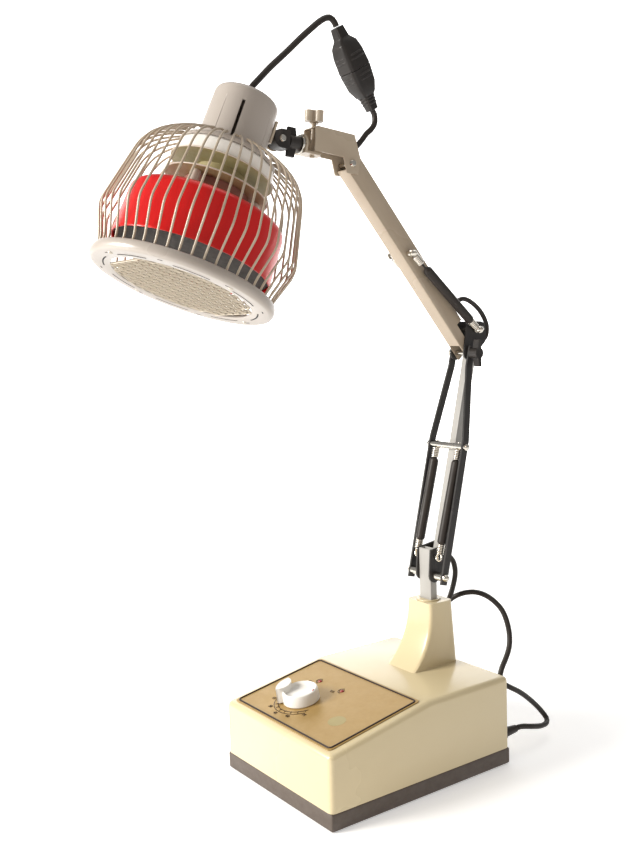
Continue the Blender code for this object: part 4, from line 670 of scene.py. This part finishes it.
def guardCage(settings):
    # wires in pairs; each pair rises up the profile and turns over in a small U at the top
    r, h = np.array(settings["profile"]).T
    at = np.concatenate([[0], np.cumsum(np.hypot(np.diff(r), np.diff(h)))])
    fine = np.linspace(0, at[-1], 60)
    radius, height = np.interp(fine, at, r), np.interp(fine, at, h)
    soft = np.ones(5) / 5
    radius[2:-2] = np.convolve(radius, soft, "valid")
    height[2:-2] = np.convolve(height, soft, "valid")
    step = 2 * np.pi / settings["wires"]
    pull = np.clip((0.0842 - radius) / (0.0842 - 0.0480), 0, 1)
    routes = []
    for pair in range(settings["wires"] // 2):
        sides = []
        for which in (0, 1):
            angle = (2 * pair + which + 0.5) * step + (0.10 if which == 0 else -0.10) * pull * step
            sides.append(np.stack([radius * np.cos(angle), radius * np.sin(angle), height], -1))
        b = np.linspace(0, np.pi, 9)[1:-1]
        first, last = sides[0][-1], sides[1][-1]
        middle, half = (first + last) / 2, (first - last) / 2
        inward = np.array([-middle[0], -middle[1], 0]) / math.hypot(middle[0], middle[1])
        inward = inward * np.linalg.norm(half)
        bend = middle + np.cos(b)[:, None] * half + np.sin(b)[:, None] * inward
        routes.append(np.vstack([sides[0], bend, sides[1][::-1]]))
    show(wires("guardCageLook", routes, settings["radius"], headFrame), "creamPaint", "head", "guard_cage")
    hoop = arcPoints((0, 0), 0.0859, 0, 357, 120, 0.0075)
    show(wires("guardHoop", [hoop], 0.0012, headFrame, closed=True), "creamPaint", "head")


guardCage(cageSettings)

grilleSettings = {
    "radius": 0.0713,
    "rim": 0.0868,
    "cellWide": 0.0135,
    "cellDeep": 0.0112,
    "strand": 0.0009,
    "slots": 8,
}


def guardGrille(settings):
    r, rim = settings["radius"], settings["rim"]
    flat = [(r - 0.0006, 0.0022), (rim - 0.0016, 0.0022), (rim - 0.0013, 0.0050), (0.0884, 0.0050),
            (0.0884, 0.0108), (0.0887, 0.0111), (0.0899, 0.0111), (0.0908, 0.0104), (0.0915, 0.0089),
            (0.0920, 0.0068), (0.0921, 0.0048), (0.0917, 0.0028), (0.0906, 0.0010), (0.0889, 0.0001),
            (0.0878, 0.0), (r + 0.0004, 0.0), (r - 0.0008, 0.0007)]
    show(turned("grilleRim", flat, headFrame, 144, ring=True), "greyCap", "head", "guard_grille")
    wide, deep = settings["cellWide"], settings["cellDeep"]
    strands = []    # expanded metal: zigzag strands side by side, each touching the next at its peaks
    rows = int(r / deep) + 1
    for row in range(-rows, rows + 1):
        for flip in (-1, 1):
            x = np.arange(-14, 15) * wide / 2
            y = row * deep + flip * deep * 0.46 * np.where(np.arange(-14, 15) % 2, 1, -1)
            inside = np.hypot(x, y) < r + 0.0004
            run = [(a, b, 0.0011 + 0.0003 * flip) for a, b, keep in zip(x, y, inside) if keep]
            if len(run) > 1:
                strands.append(run)
    show(wires("grilleStrands", strands, settings["strand"], headFrame, sides=1, smooth=False),
         "creamPaint", "head")
    # dark wires along each slot line are painted shade, standing in for the shade inside the slot
    slots = []
    for number in range(settings["slots"]):
        middle = 22.5 + number * 360 / settings["slots"]
        slots.append(arcPoints((0, 0), 0.0772, middle - 13, middle + 13, 14, 0.0009))
    show(wires("grilleSlotShade", slots, 0.0012, headFrame), "paintedSlotShade", "head")
    # short dark arcs at each notch are painted shade, standing in for the shade inside the notch
    stops = [arcPoints((0, 0), 0.0828, a, a + 3.4, 3, 0.0006) for a in range(0, 360, 45)]
    show(wires("grilleNotchShade", stops, 0.0009, headFrame), "paintedSlotShade", "head")
    for number, a in enumerate((5, 95, 185, 275)):
        where = headFrame @ Matrix.Rotation(math.radians(a), 4, "Z") @ Matrix.Translation((0.0815, 0, 0))
        dome = [(0, -0.0014), (0.0012, -0.0012), (0.0024, -0.0004), (0.0026, 0.0008), (0, 0.0008)]
        show(turned("grilleScrew" + str(number), dome, where, 24), "zinc", "head")


guardGrille(grilleSettings)

capSettings = {
    "radius": 0.0345,
    "slotTurns": (-62, 28, 118, 208),    # degrees round the head's axis
    "screwTurns": (-30, 90, 210),
    "boardRadius": 0.0517,
    "boardHeights": (0.1050, 0.1225),
}


def capDetails(settings):
    r = settings["radius"]
    rims = []
    for a in settings["slotTurns"]:    # a raised lip beside each louvre slot
        turn = math.radians(a)
        reach = [r - 0.0007 - 0.0016 * k / 8 for k in range(9)]
        rims.append([(out * math.cos(turn), out * math.sin(turn), 0.147 + 0.042 * k / 8)
                     for k, out in enumerate(reach)])
    show(wires("capLips", rims, 0.0009, headFrame), "greyCap", "head")
    for number, a in enumerate(settings["screwTurns"]):
        where = headFrame @ Matrix.Rotation(math.radians(a), 4, "Z") \
            @ Matrix.Translation((r - 0.0002, 0, 0.1445)) @ Matrix.Rotation(math.radians(90), 4, "Y")
        dome = [(0, 0.0016), (0.0012, 0.0014), (0.0022, 0.0008), (0.0026, 0.0), (0.0026, -0.0006),
                (0, -0.0006)]
        show(turned("capScrew" + str(number), dome, where, 24), "zinc", "head")
    for number, high in enumerate(settings["boardHeights"]):    # the boards' pale cut edges
        loop = arcPoints((0, 0), settings["boardRadius"], 0, 357, 100, high + 0.0008)
        show(wires("shieldEdge" + str(number), [loop], 0.0007, headFrame, closed=True), "ceramic", "head")
    for number, a in enumerate(range(15, 360, 60)):
        where = headFrame @ Matrix.Rotation(math.radians(a), 4, "Z") @ Matrix.Translation((0.0455, 0, 0.1268))
        nut = [(0, 0.0030), (0.0012, 0.0030), (0.0012, 0.0016), (0.0030, 0.0016), (0.0030, -0.0014),
               (0, -0.0014)]
        show(turned("shieldNut" + str(number), nut, where, 6), "zinc", "head")


capDetails(capSettings)

print("head done")
